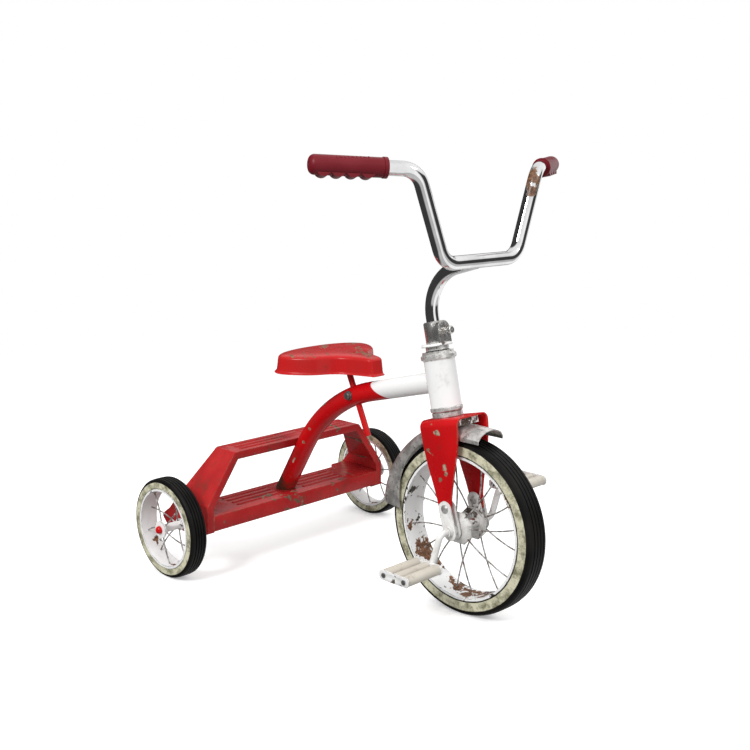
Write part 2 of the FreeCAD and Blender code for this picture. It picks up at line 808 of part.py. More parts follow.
def stem_lug():
    """Chromed clamp on top of the steerer, with a flat arched face for the clamp bolt."""
    body = Part.makeCylinder(lug_diameter / 2, lug_height, Vector(0, 0, lug_bottom))
    body = body.makeChamfer(2.0, [e for e in body.Edges if abs(e.CenterOfMass.z - lug_top) < 1e-6])
    half = lug_face_width / 2
    corner = Vector(-half, -lug_face_forward, lug_bottom)
    face_block = Part.makeBox(lug_face_width, lug_face_forward, lug_height - half, corner)
    arch_start = Vector(0, -lug_face_forward, lug_top - half)
    arch = Part.makeCylinder(half, lug_face_forward, arch_start, Vector(0, 1, 0))
    shape = body.fuse([face_block, arch]).removeSplitter()
    shape = shape.cut(Part.makeCylinder(stem_bore / 2, lug_height + 2, Vector(0, 0, lug_bottom - 1)))
    return shape.cut(lug_bolt_hole(lug_bolt_diameter))


def lug_bolt_hole(diameter):
    """Round space for the clamp bolt, from the stem tube out through the flat face."""
    start = Vector(0, -stem_diameter / 2, lug_bottom + lug_bolt_height)
    return Part.makeCylinder(diameter / 2, lug_face_forward, start, Vector(0, -1, 0))


def lug_bolt():
    """Clamp bolt with a collar and a square-shouldered head, standing out of the lug's face."""
    height = lug_bottom + lug_bolt_height
    start = Vector(0, -stem_diameter / 2 - body_gap, height)
    face = Vector(0, -lug_face_forward, height)
    tip = Vector(0, -lug_face_forward - lug_bolt_reach, height)
    shank = rod(start, tip, lug_bolt_diameter)
    collar = rod(face, face + Vector(0, -lug_collar_length, 0), lug_bolt_diameter + lug_collar_length)
    head_start = tip + Vector(0, lug_bolt_head / 2, 0)
    head_solid = rod(head_start, tip, lug_bolt_head)
    ends = [e for e in head_solid.Edges if len(e.Vertexes) == 1]
    head_solid = head_solid.makeFillet(1.8, ends)
    return shank.fuse([collar, head_solid]).removeSplitter()


# ---- handlebar ----
def bar_point(side_x, forward, rise):
    """A point of the handlebar, with its height above the stem lug's top."""
    return Vector(side_x, -forward, lug_top + rise)


def bar_path():
    """Centre line of the bar from one end to the other."""
    half = [bar_point(bar_end_half, bar_end_forward, bar_end_rise)]
    half += [bar_point(bar_bend_half, bar_bend_forward, bar_bend_rise)]
    half += [bar_point(bar_bottom_half, bar_forward, bar_bottom_rise)]
    other = [Vector(-p.x, p.y, p.z) for p in reversed(half)]
    return rounded_path(half + other, [bar_bend_radius] * 4)


def handlebar():
    """High-rise bar, bent from one tube."""
    return swept_tube(bar_path(), bar_diameter, bar_wall)


def stem_path():
    """Centre line of the stem: straight up out of the lug, then forward to the bar."""
    slope = math.radians(stem_end_slope)
    end = bar_point(0, bar_forward, bar_bottom_rise)
    corner = Vector(0, 0, end.z - bar_forward * math.tan(slope))
    start = Vector(0, 0, lug_bottom - stem_insertion + seam)
    end = end - (end - corner).normalize() * (bar_diameter / 2 - bar_wall)
    return rounded_path([start, corner, end], [stem_bend_radius])


def stem():
    """Bent stem tube, its front end cut to sit on the bar."""
    shape = swept_tube(stem_path(), stem_diameter, bar_wall)
    bar_solid = swept_rod(bar_path(), bar_diameter)
    return keep_largest(shape.cut(bar_solid))


def grip(side):
    """Moulded grip with a closed round end and finger ridges underneath."""
    end = bar_point(side * bar_end_half, bar_end_forward, bar_end_rise)
    bend = bar_point(side * bar_bend_half, bar_bend_forward, bar_bend_rise)
    inward = (bend - end).normalize()
    outer_end = end - inward * grip_end_wall
    body = rod(outer_end, outer_end + inward * grip_length, grip_diameter)
    ends = [e for e in body.Edges if len(e.Vertexes) == 1]
    tip = min(ends, key=lambda e: (e.CenterOfMass - outer_end).Length)
    body = body.makeFillet(grip_diameter * 0.3, [tip])
    collar_start = outer_end + inward * (grip_length - grip_collar_length)
    collar = rod(collar_start, outer_end + inward * grip_length, grip_diameter + 2 * grip_collar_step)
    pitch = (grip_length - grip_ridge_start - grip_ridge_end) / grip_ridges
    ridge_radius = pitch / 2
    pieces = [collar]
    for index in range(grip_ridges):
        along = outer_end + inward * (grip_ridge_start + pitch * (index + 0.5))
        centre = along + Vector(0, 0, -grip_diameter / 2 - grip_ridge_depth + ridge_radius)
        across = inward.cross(Vector(0, 0, 1)).normalize()
        start = centre - across * (grip_diameter * 0.3)
        pieces.append(Part.makeCylinder(ridge_radius, grip_diameter * 0.6, start, across))
    solid = body.fuse(pieces).removeSplitter()
    solid = solid.cut(rod(end, end + inward * grip_length * 1.1, bar_diameter))
    return keep_largest(solid)


# ---- backbone, seat post and seat ----
def backbone_corner_points():
    """Centre line corners of the backbone: head, bend and foot."""
    nose = math.tan(math.radians(nose_slope))
    leg = math.tan(math.radians(leg_slope))
    head = steering_foot + axis_up * (head_bottom + backbone_head_height)
    foot = Vector(0, rear_axle.y - backbone_foot_forward, deck_top)
    bend_y = (head.z - foot.z + nose * head.y - leg * foot.y) / (nose - leg)
    bend = Vector(0, bend_y, head.z - nose * (bend_y - head.y))
    return head, bend, foot


def backbone_path():
    """Centre line of the backbone from inside the head tube to below the deck."""
    head, bend, foot = backbone_corner_points()
    below = foot + (foot - bend).normalize() * backbone_diameter
    return rounded_path([head, bend, below], [backbone_bend_radius])


def backbone():
    """Backbone tube, coped to the head tube and to the step it stands on."""
    shape = swept_tube(backbone_path(), backbone_diameter, backbone_wall)
    reach = head_tube_diameter / 2
    below = Vector(0, 0, head_bottom - head_tube_length)
    head_space = in_steering(Part.makeCylinder(reach, 3 * head_tube_length, below))
    floor = Part.makeBox(200, 400, 200, Vector(-100, rear_axle.y - 200, deck_top - 200))
    shape = shape.cut(head_space).cut(floor)
    shape = shape.cut(post_bar(post_diameter + 2 * running_fit)).cut(clamp_bolt_bar(clamp_bolt_diameter))
    return keep_largest(shape)


def backbone_height(y):
    """Height of the backbone's centre line at a place along the object."""
    wire = backbone_path()
    line = Part.LineSegment(Vector(0, y, 0), Vector(0, y, 1000)).toShape()
    distance, pairs, info = wire.distToShape(line)
    return pairs[0][0].z


def post_crossing():
    """Where the seat post's line crosses the backbone's centre line."""
    cross_y = front_axle.y + post_behind_head
    return Vector(0, cross_y, backbone_height(cross_y))


def seat_base_height():
    """Height of the seat skirt's lower edge, clear of the backbone under the nose."""
    nose_y = post_crossing().y - seat_nose_before_post
    return backbone_height(nose_y) + backbone_diameter / 2 + seat_nose_gap


def seat_roof():
    """Height of the flat underside of the pan's top."""
    return seat_base_height() + seat_skirt + seat_crown - seat_wall


def post_line():
    """Lower end, crossing with the backbone, and top end of the seat post."""
    crossing = post_crossing()
    angle = math.radians(post_lean)
    up = Vector(0, math.sin(angle), math.cos(angle))
    rise = seat_roof() - bracket_wall - crossing.z
    return crossing - up * post_below_backbone, crossing, crossing + up * (rise / up.z)


def post_bar(diameter):
    """Round bar along the seat post's line."""
    low, crossing, high = post_line()
    return rod(low, high, diameter)


def post_solid():
    """Seat post with its top cut level to meet the bracket's roof."""
    low, crossing, high = post_line()
    up = (high - low).normalize()
    bar = rod(low, high + up * post_diameter, post_diameter)
    above = Part.makeBox(60, 60, 60, Vector(-30, high.y - 30, high.z))
    return bar.cut(above)


def clamp_bolt_centre():
    """Where the seat post's clamp bolt crosses the backbone's middle plane."""
    low, crossing, high = post_line()
    return crossing + (high - low).normalize() * clamp_bolt_rise


def clamp_bolt_bar(diameter):
    """Round bar from outside the backbone in to the seat post."""
    centre = clamp_bolt_centre()
    return x_rod(-backbone_diameter, -post_diameter / 2 - seam, centre.y, centre.z, diameter)


def clamp_bolt():
    """Bolt that presses on the seat post from the right, and the collar it is threaded in."""
    centre = clamp_bolt_centre()
    side = backbone_diameter / 2
    collar_end = side + clamp_collar_stand
    head_end = collar_end + clamp_head_height
    tube_solid = swept_rod(backbone_path(), backbone_diameter)
    collar = x_rod(-collar_end, -side / 2, centre.y, centre.z, clamp_collar_diameter)
    collar = collar.cut(tube_solid).cut(clamp_bolt_bar(clamp_bolt_diameter))
    shank = x_rod(-collar_end, -post_diameter / 2 - seam, centre.y, centre.z, clamp_bolt_diameter)
    head_solid = x_rod(-head_end, -collar_end, centre.y, centre.z, clamp_bolt_head)
    rim_edge = min(head_solid.Edges, key=lambda e: e.BoundBox.XMax)
    head_solid = head_solid.makeFillet(clamp_head_rounding, [rim_edge])
    write("seat_clamp_bolt", shank.fuse(head_solid).removeSplitter())
    write("seat_clamp_collar", keep_largest(collar))


def seat_points():
    """Seat outline from above: wide round rear lobes, a waist and a short nose."""
    nose_y = post_crossing().y - seat_nose_before_post
    wide = seat_half_width
    nose = seat_nose_half_width
    half = [(0, 0.0), (nose * 0.8, 0.012), (nose * 1.15, 0.08), (nose * 1.6, 0.2), (wide * 0.37, 0.33)]
    half += [(wide * 0.64, 0.42), (wide * 0.87, 0.57), (wide, 0.76), (wide * 0.93, 0.91)]
    half += [(wide * 0.70, 0.985), (wide * 0.4, 1.0), (0, 0.97)]
    points = [Vector(x, nose_y + part * seat_length, 0) for x, part in half]
    return points + [Vector(-p.x, p.y, 0) for p in reversed(points[1:-1])]


def seat_outline(share, height, inset):
    """Closed seat outline at one height, scaled about its middle and then moved inwards."""
    middle = Vector(0, post_crossing().y - seat_nose_before_post + 0.55 * seat_length, 0)
    scaled = [middle + (point - middle) * share for point in seat_points()]
    placed = []
    for index, point in enumerate(scaled):
        along = scaled[(index + 1) % len(scaled)] - scaled[index - 1]
        inward = Vector(-along.y, along.x, 0).normalize()
        placed.append(point + inward * inset + Vector(0, 0, height))
    curve = Part.BSplineCurve()
    curve.interpolate(placed, PeriodicFlag=True)
    return Part.Wire(curve.toShape())


def seat_skin(inset):
    """One skin of the seat pan: the solid inside it, moved in and down by the inset."""
    base = seat_base_height() - inset
    top = base + seat_skirt
    neck = 1 - seat_inset / seat_half_width
    flare = [(1, 0), (0.5, 0.2), (0.15, 0.55), (0, 0.9)]
    crown = [(0.965, 0.16), (0.9, 0.42), (0.78, 0.66), (0.62, 0.84), (0.42, 0.95), (0.2, 1)]
    levels = [(neck + (1 - neck) * part, base + rise * seat_skirt) for part, rise in flare]
    levels += [(neck * part, top + rise * seat_crown) for part, rise in crown]
    return Part.makeLoft([seat_outline(share, height, inset) for share, height in levels], True, True)


def seat_pan():
    """Pressed seat pan: a thin shell with a flared skirt, open underneath."""
    return keep_largest(seat_skin(0).cut(seat_skin(seat_wall)))


def seat_bracket():
    """Folded bracket riveted under the pan, with a socket for the post."""
    low, crossing, high = post_line()
    roof = seat_roof()
    half = bracket_width / 2
    front = high.y - bracket_length / 2
    under = roof - bracket_wall
    top = Part.makeBox(bracket_width, bracket_length, bracket_wall, Vector(-half, front, under))
    left = Part.makeBox(bracket_wall, bracket_length, seat_skirt, Vector(-half, front, roof - seat_skirt))
    right = mirrored(left)
    up = (high - low).normalize()
    socket_start = high - up * (seat_skirt + bracket_socket_drop)
    socket = rod(socket_start, high + up * bracket_socket_drop, bracket_socket_diameter)
    socket = socket.cut(Part.makeBox(60, 60, 60, Vector(-30, high.y - 30, under + 0.1)))
    shape = top.fuse([left, right, socket]).removeSplitter()
    return shape.cut(post_solid())


def seat_rivets():
    """Two rivets through the pan and the bracket."""
    low, crossing, high = post_line()
    front = high.y - bracket_length / 2
    under = seat_roof() - bracket_wall
    rivets = []
    for share in (0.12, 0.88):
        place = Vector(0, front + share * bracket_length, under - seat_rivet_head)
        length = seat_wall + bracket_wall + 2 * seat_rivet_head
        rivets.append(rod(place, place + Vector(0, 0, length), seat_rivet_diameter))
    return group(rivets)


def seat():
    """Seat pan, bracket, post and rivets: what slides up and down together."""
    rivets = seat_rivets()
    bracket = seat_bracket()
    write("seat_post", post_solid())
    write("seat_bracket", bracket.cut(rivets))
    write("seat_pan", keep_largest(seat_pan().cut(rivets).cut(bracket)))
    write("seat_rivets", rivets)


# ---- steps, rear axle and rear wheels ----
def deck():
    """Lower step: a pressed sheet with ribs, a deep front flange and wider rounded ends."""
    half = deck_half_width
    front = rear_axle.y - deck_front
    rear = rear_axle.y + deck_rear
    end = rear_axle.y + deck_end_rear
    inner = half - deck_end_length
    notch = inner - deck_notch_run
    right = [Vector(half, front, 0), Vector(half, end, 0), Vector(inner, end, 0), Vector(notch, rear, 0)]
    left = [Vector(-p.x, p.y, 0) for p in reversed(right)]
    sheet = polygon_face(right + left).extrude(Vector(0, 0, step_sheet))
    sheet = sheet.makeFillet(deck_end_radius, upright_edges(sheet, end, end))
    sheet = sheet.makeFillet(deck_front_radius, upright_edges(sheet, front, front))
    sheet.translate(Vector(0, 0, deck_top - step_sheet))
    corner = Vector(deck_front_radius - half, front, deck_top - deck_front_flange)
    flange = Part.makeBox(2 * (half - deck_front_radius), step_sheet, deck_front_flange, corner)
    back_corner = Vector(-notch, rear - step_sheet, deck_top - deck_rear_flange)
    back = Part.makeBox(2 * notch, step_sheet, deck_rear_flange, back_corner)
    depth = deck_front + deck_rear
    ribs = rib_set(deck_ribs, front + 0.2 * depth, rear - 0.08 * depth, deck_top, rib_start, rib_end)
    return sheet.fuse([flange, back] + ribs).removeSplitter()


def upright_edges(shape, first, last):
    """Vertical edges between two places along the object."""
    edges = []
    for edge in shape.Edges:
        middle = edge.CenterOfMass
        upright = edge.BoundBox.ZLength > 0.9 * edge.Length
        if upright and first - 0.01 < middle.y < last + 0.01:
            edges.append(edge)
    return edges


def rib_set(count, first, last, top, start, end):
    """Raised ribs across a step, left clear in the middle where the backbone comes down."""
    ribs = []
    pitch = (last - first) / count
    for index in range(count):
        y = first + pitch * (index + 0.5)
        for side in (-1, 1):
            ribs.append(rib(side * start, side * end, y, top))
    return ribs


def rib(x0, x1, y, top):
    """One low rounded rib with round ends."""
    radius = (rib_width * rib_width / 4 + rib_height * rib_height) / (2 * rib_height)
    sink = radius - rib_height
    low = min(x0, x1)
    high = max(x0, x1)
    bar = rod(Vector(low, y, top - sink), Vector(high, y, top - sink), 2 * radius)
    ends = [Part.makeSphere(radius, Vector(x, y, top - sink)) for x in (low, high)]
    corner = Vector(low - rib_width / 2, y - rib_width, top - rib_sink)
    keep = Part.makeBox(high - low + rib_width, 2 * rib_width, rib_height + 2 * rib_sink, corner)
    return bar.fuse(ends).common(keep)


def bridge_face(shift):
    """The upper step's bent line seen from the front, moved inwards by shift, as a solid outline."""
    slope = math.atan2(bridge_top - rear_axle.z - tab_top_above_axle, tab_half_spacing - bridge_half_width)
    side_x = tab_half_spacing - shift
    tab_z = rear_axle.z + tab_top_above_axle - shift * math.tan(math.pi / 4 - slope / 2)
    top_x = bridge_half_width - shift * math.tan(slope / 2)
    bottom = rear_axle.z - 2 * tab_bottom_below_axle
    y = rear_axle.y - deck_front
    right = [Vector(side_x, y, bottom), Vector(side_x, y, tab_z), Vector(top_x, y, bridge_top - shift)]
    left = [Vector(-p.x, y, p.z) for p in reversed(right)]
    return right + left


def bridge_block(shift, y0, depth):
    """Rounded block under the upper step's bent line."""
    block = polygon_face(bridge_face(shift)).extrude(Vector(0, depth, 0))
    block.translate(Vector(0, y0, 0))
    edges = []
    for edge in block.Edges:
        middle = edge.CenterOfMass
        if abs(edge.tangentAt(edge.FirstParameter).y) > 0.99 and middle.z > rear_axle.z:
            edges.append(edge)
    return block.makeFillet(max(bridge_corner_radius - shift, 1.0), edges)


def bridge():
    """Upper step: one bent strip whose ends carry the axle, with a stiffening flange along its front edge."""
    far = tab_rear + deck_front
    strip = bridge_block(0, 0, far).cut(bridge_block(step_sheet, -1, far + 2))
    front_y = rear_axle.y - deck_front
    outer = bridge_block(0, 0, step_sheet)
    inner = bridge_block(bridge_flange, -1, step_sheet + 2)
    flange = outer.cut(inner)
    depth = deck_front - bridge_rear
    first = front_y + 0.12 * depth
    ribs = rib_set(bridge_ribs, first, first + 0.8 * depth, bridge_top, rib_start, rib_end)
    shape = strip.fuse(flange).common(bridge_side_view()).fuse(ribs)
    shape = shape.cut(x_rod(-rear_track, rear_track, rear_axle.y, rear_axle.z, rear_axle_diameter))
    tube_solid = swept_rod(backbone_path(), backbone_diameter)
    return keep_largest(shape.removeSplitter().cut(tube_solid))


def bridge_side_view():
    """The strip's outline seen from the side: narrow on top, wide at the tabs."""
    front = rear_axle.y - deck_front - 1
    bottom = rear_axle.z - tab_bottom_below_axle
    rear = rear_axle.y + tab_rear
    top = bridge_top + 2 * rib_height
    strip_rear = rear_axle.y - bridge_rear
    outline = [(front, top), (front, bottom + tab_front_lift), (front + tab_front_slant, bottom)]
    outline += [(rear - tab_corner, bottom), (rear, bottom + tab_corner), (rear, rear_axle.z)]
    outline += [(rear_axle.y + tab_shoulder, rear_axle.z + tab_shoulder_rise)]
    outline += [(rear_axle.y + strip_rear_at_tab, rear_axle.z + tab_top_above_axle)]
    outline += [(strip_rear, bridge_top - strip_edge_drop), (strip_rear, top)]
    block = polygon_face([Vector(0, y, z) for y, z in outline]).extrude(Vector(2 * rear_track, 0, 0))
    block.translate(Vector(-rear_track, 0, 0))
    return block


def rear_hub(side):
    """Hub tube of a rear wheel with a small inner and a large outer flange."""
    centre = side * rear_track / 2
    inner = centre - side * rear_hub_half_length
    outer = centre + side * rear_hub_half_length
    y = rear_axle.y
    z = rear_axle.z
    wall = side * rear_hub_flange_wall
    barrel = x_rod(inner, outer, y, z, rear_hub_diameter)
    inner_flange = x_rod(inner, inner + wall, y, z, rear_hub_inner_flange)
    outer_flange = x_rod(outer - wall, outer, y, z, rear_hub_outer_flange)
    bore = x_rod(-rear_track, rear_track, y, z, rear_axle_diameter + 2 * rear_hub_bore_clearance)
    return barrel.fuse([inner_flange, outer_flange]).removeSplitter().cut(bore)


def rear_wheel(side, word):
    """Rear wheel, free on the fixed axle."""
    centre = rear_axle + Vector(side * rear_track / 2, 0, 0)
    write("rear_tyre_" + word, tyre(centre, rear_tyre_radius, rear_tyre_width, rear_tyre_height))
    write("rear_rim_" + word, rim(centre, rear_rim_radius, rear_tyre_width))
    write("rear_hub_" + word, rear_hub(side))
    rim_radius = rear_rim_radius - rim_wall / 2
    hub_half = rear_hub_half_length - rear_hub_flange_wall - rear_spoke_inset
    hub_radius = rear_hub_diameter / 2 - seam
    wires = spoke_set(centre, rear_spokes_per_side, hub_radius, hub_half, rim_radius, rear_tyre_width / 8)
    write("rear_spokes_" + word, wires)


def rear_axle_set():
    """Fixed rear axle with its washers and the domed caps on its ends."""
    y = rear_axle.y
    z = rear_axle.z
    hub_outer = rear_track / 2 + rear_hub_half_length
    hub_inner = rear_track / 2 - rear_hub_half_length
    end = hub_outer + body_gap + rear_cap_height / 3
    write("rear_axle", x_rod(-end, end, y, z, rear_axle_diameter))
    inner = x_tube(tab_half_spacing, hub_inner - body_gap, y, z, rear_washer_diameter, rear_axle_diameter)
    write("rear_axle_washers", group([inner, mirrored(inner)]))
    start = hub_outer + body_gap
    cap = x_rod(start, start + rear_cap_height, y, z, rear_cap_diameter)
    tip = [e for e in cap.Edges if len(e.Vertexes) == 1 and e.CenterOfMass.x > start + 1]
    cap = cap.makeFillet(rear_cap_height * 0.7, tip).cut(x_rod(0, end, y, z, rear_axle_diameter))
    write("hub_caps", group([cap, mirrored(cap)]))


def main():
    """Write every node."""
    os.makedirs("parts", exist_ok=True)
    front_wheel()
    pedal(-1, "right")
    pedal(1, "left")
    write("fork", in_steering(fork()))
    hangers()
    fender()
    head()
    write("stem_lug", in_steering(stem_lug()))
    write("stem_lug_bolt", in_steering(lug_bolt()))
    write("handlebar", in_steering(handlebar()))
    write("handlebar_stem", in_steering(stem()))
    write("grip_left", in_steering(grip(1)))
    write("grip_right", in_steering(grip(-1)))
    write("backbone_tube", backbone())
    clamp_bolt()
    seat()
    upper_step = bridge()
    write("lower_step", keep_largest(deck().cut(upper_step)))
    write("upper_step", upper_step)
    rear_axle_set()
    rear_wheel(-1, "right")
    rear_wheel(1, "left")


main()
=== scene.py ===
import json
import math

import bpy
from mathutils import Matrix, Vector

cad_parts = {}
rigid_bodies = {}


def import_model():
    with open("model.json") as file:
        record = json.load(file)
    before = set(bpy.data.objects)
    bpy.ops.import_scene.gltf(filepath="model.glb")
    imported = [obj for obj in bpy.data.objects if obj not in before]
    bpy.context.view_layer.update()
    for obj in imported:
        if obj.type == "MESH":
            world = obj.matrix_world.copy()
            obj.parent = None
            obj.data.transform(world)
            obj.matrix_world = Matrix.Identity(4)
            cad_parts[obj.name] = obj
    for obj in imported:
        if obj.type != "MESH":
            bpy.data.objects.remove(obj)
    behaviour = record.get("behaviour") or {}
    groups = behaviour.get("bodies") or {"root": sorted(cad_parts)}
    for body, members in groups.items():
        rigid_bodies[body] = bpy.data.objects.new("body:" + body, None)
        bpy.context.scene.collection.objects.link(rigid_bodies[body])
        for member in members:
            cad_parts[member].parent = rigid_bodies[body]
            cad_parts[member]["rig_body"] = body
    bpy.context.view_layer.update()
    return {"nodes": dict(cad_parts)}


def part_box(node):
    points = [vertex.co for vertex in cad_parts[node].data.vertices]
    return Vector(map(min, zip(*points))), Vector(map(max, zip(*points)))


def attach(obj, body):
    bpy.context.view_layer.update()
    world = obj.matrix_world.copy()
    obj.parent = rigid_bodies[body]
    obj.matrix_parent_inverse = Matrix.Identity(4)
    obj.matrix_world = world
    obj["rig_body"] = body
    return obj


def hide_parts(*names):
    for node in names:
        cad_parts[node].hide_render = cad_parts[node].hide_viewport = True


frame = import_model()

nodes = frame["nodes"]


def settle(piece, body, slotName, *replacedNodes):
    # the finished piece keeps its place in its mesh and rides on its body
    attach(piece, body)
    if replacedNodes:
        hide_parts(*replacedNodes)
    return piece


def pickOnly(piece):
    bpy.ops.object.select_all(action="DESELECT")
    piece.select_set(True)
    bpy.context.view_layer.objects.active = piece


def applyPlace(piece):
    pickOnly(piece)
    bpy.ops.object.transform_apply(location=True, rotation=True, scale=True)


def tidyNormals(piece):
    # weld loose seams, then turn every face outwards
    pickOnly(piece)
    bpy.ops.object.mode_set(mode="EDIT")
    bpy.ops.mesh.select_all(action="SELECT")
    bpy.ops.mesh.remove_doubles(threshold=0.00001)
    bpy.ops.mesh.normals_make_consistent(inside=False)
    bpy.ops.object.mode_set(mode="OBJECT")


def smoothShade(piece, angle):
    pickOnly(piece)
    bpy.ops.object.shade_smooth_by_angle(angle=math.radians(angle))


def applyModifier(piece, kind, **settings):
    pickOnly(piece)
    modifier = piece.modifiers.new(kind.title(), kind)
    for key, value in settings.items():
        setattr(modifier, key, value)
    bpy.ops.object.modifier_apply(modifier=modifier.name)


def joined(pieces, name):
    bpy.ops.object.select_all(action="DESELECT")
    for piece in pieces:
        piece.select_set(True)
    bpy.context.view_layer.objects.active = pieces[0]
    bpy.ops.object.join()
    pieces[0].name = name
    pieces[0].data.name = name
    return pieces[0]


# lengths in metres, angles in degrees
softening = {"weld": 0.000005, "flatWithin": 0.6, "sharpFrom": 32, "steps": 2, "smoothUpTo": 30}


def softened(node, material, bevel):
    # a copy of a pressed or cut piece with its sharp edges rounded off
    mesh = nodes[node].data.copy()
    piece = bpy.data.objects.new(node.title().replace("_", "") + "Soft", mesh)
    bpy.context.scene.collection.objects.link(piece)
    pickOnly(piece)
    bpy.ops.mesh.customdata_custom_splitnormals_clear()
    bpy.ops.object.mode_set(mode="EDIT")
    bpy.ops.mesh.select_all(action="SELECT")
    bpy.ops.mesh.remove_doubles(threshold=softening["weld"])
    bpy.ops.mesh.dissolve_limited(angle_limit=math.radians(softening["flatWithin"]))
    bpy.ops.object.mode_set(mode="OBJECT")
    applyModifier(piece, "BEVEL", width=bevel, segments=softening["steps"], limit_method="ANGLE",
                  angle_limit=math.radians(softening["sharpFrom"]), use_clamp_overlap=True)
    smoothShade(piece, softening["smoothUpTo"])
    piece.data.materials.clear()
    piece.data.materials.append(material)
    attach(piece, nodes[node]["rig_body"])
    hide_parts(node)
    return piece


def paint(node, material):
    nodes[node].data.materials.clear()
    nodes[node].data.materials.append(material)


def newMaterial(name):
    material = bpy.data.materials.new(name)
    material.use_nodes = True
    return material, material.node_tree, material.node_tree.nodes["Principled BSDF"]


def feed(tree, socket, value):
    # link another node's output, or set a fixed number or colour
    if isinstance(value, bpy.types.NodeSocket):
        tree.links.new(value, socket)
    elif isinstance(value, tuple) and len(value) == 3 and socket.type == "RGBA":
        socket.default_value = value + (1.0,)
    else:
        socket.default_value = value


def place(tree):
    return tree.nodes.new("ShaderNodeTexCoord").outputs["Object"]


def moved(tree, centre=(0, 0, 0), turn=(0, 0, 0), scale=(1, 1, 1)):
    mapping = tree.nodes.new("ShaderNodeMapping")
    mapping.vector_type = "TEXTURE"
    tree.links.new(place(tree), mapping.inputs["Vector"])
    mapping.inputs["Location"].default_value = centre
    mapping.inputs["Rotation"].default_value = [math.radians(angle) for angle in turn]
    mapping.inputs["Scale"].default_value = scale
    return mapping.outputs["Vector"]


def axesOf(tree, vector):
    separate = tree.nodes.new("ShaderNodeSeparateXYZ")
    tree.links.new(vector, separate.inputs[0])
    return separate.outputs["X"], separate.outputs["Y"], separate.outputs["Z"]


def noise(tree, scale, detail=4.0, rough=0.55, vector=None, distort=0.0):
    texture = tree.nodes.new("ShaderNodeTexNoise")
    texture.inputs["Scale"].default_value = scale
    texture.inputs["Detail"].default_value = detail
    texture.inputs["Roughness"].default_value = rough
    texture.inputs["Distortion"].default_value = distort
    tree.links.new(place(tree) if vector is None else vector, texture.inputs["Vector"])
    return texture.outputs["Fac"]


def step(tree, value, low, high):
    # 0 below low, 1 above high, smooth between; low above high turns it round
    limits = tree.nodes.new("ShaderNodeMapRange")
    limits.interpolation_type = "SMOOTHSTEP"
    turned = low > high
    feed(tree, limits.inputs["Value"], value)
    limits.inputs["From Min"].default_value = min(low, high)
    limits.inputs["From Max"].default_value = max(low, high)
    limits.inputs["To Min"].default_value = 1.0 if turned else 0.0
    limits.inputs["To Max"].default_value = 0.0 if turned else 1.0
    return limits.outputs["Result"]


def sums(tree, operation, a, b=0.0, c=None):
    node = tree.nodes.new("ShaderNodeMath")
    node.operation = operation
    feed(tree, node.inputs[0], a)
    feed(tree, node.inputs[1], b)
    if c is not None:
        feed(tree, node.inputs[2], c)
    return node.outputs[0]


def blended(tree, share, a, b):
    mix = tree.nodes.new("ShaderNodeMix")
    mix.data_type = "RGBA"
    feed(tree, mix.inputs["Factor"], share)
    # sockets 6 and 7 and output 2 are the colour ones of this node
    feed(tree, mix.inputs[6], a)
    feed(tree, mix.inputs[7], b)
    return mix.outputs[2]


def eitherOf(tree, masks):
    total = masks[0]
    for mask in masks[1:]:
        total = sums(tree, "MAXIMUM", total, mask)
    return total


def edgeWear(tree, width, start, end):
    # how sharply the surface turns within a small width
    softNormal = tree.nodes.new("ShaderNodeBevel")
    softNormal.samples = 4
    softNormal.inputs["Radius"].default_value = width
    trueNormal = tree.nodes.new("ShaderNodeNewGeometry").outputs["Normal"]
    dot = tree.nodes.new("ShaderNodeVectorMath")
    dot.operation = "DOT_PRODUCT"
    tree.links.new(softNormal.outputs["Normal"], dot.inputs[0])
    tree.links.new(trueNormal, dot.inputs[1])
    turn = sums(tree, "SUBTRACT", 1.0, dot.outputs["Value"])
    return step(tree, turn, start, end)


def spots(tree, places, ragged=2.1, soft=0.08, wobbleScale=160.0):
    # places: (x, y, z, radius), each a ragged patch
    wobble = sums(tree, "SUBTRACT", noise(tree, wobbleScale, 3.0, 0.6), 0.5)
    masks = []
    for x, y, z, radius in places:
        distance = tree.nodes.new("ShaderNodeVectorMath")
        distance.operation = "DISTANCE"
        tree.links.new(place(tree), distance.inputs[0])
        distance.inputs[1].default_value = (x, y, z)
        share = sums(tree, "DIVIDE", distance.outputs["Value"], radius)
        share = sums(tree, "MULTIPLY_ADD", wobble, ragged, share)
        masks.append(step(tree, share, 1.0 + soft, 1.0 - soft))
    return eitherOf(tree, masks)


def bump(tree, shader, height, strength, distance):
    node = tree.nodes.new("ShaderNodeBump")
    node.inputs["Strength"].default_value = strength
    node.inputs["Distance"].default_value = distance
    tree.links.new(height, node.inputs["Height"])
    tree.links.new(node.outputs["Normal"], shader.inputs["Normal"])


def rustOver(tree, colour, rusted, tones, grainScale):
    grain = noise(tree, grainScale, 4.0, 0.7)
    rustColour = blended(tree, step(tree, grain, 0.35, 0.65), tones["rustDark"], tones["rustLight"])
    return blended(tree, rusted, colour, rustColour)


def boxPlaces(node, shares):
    # spots given as shares of a node's box, with a radius in metres
    low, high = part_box(node)
    size = high - low
    return [(low.x + x * size.x, low.y + y * size.y, low.z + z * size.z, radius)
            for x, y, z, radius in shares]


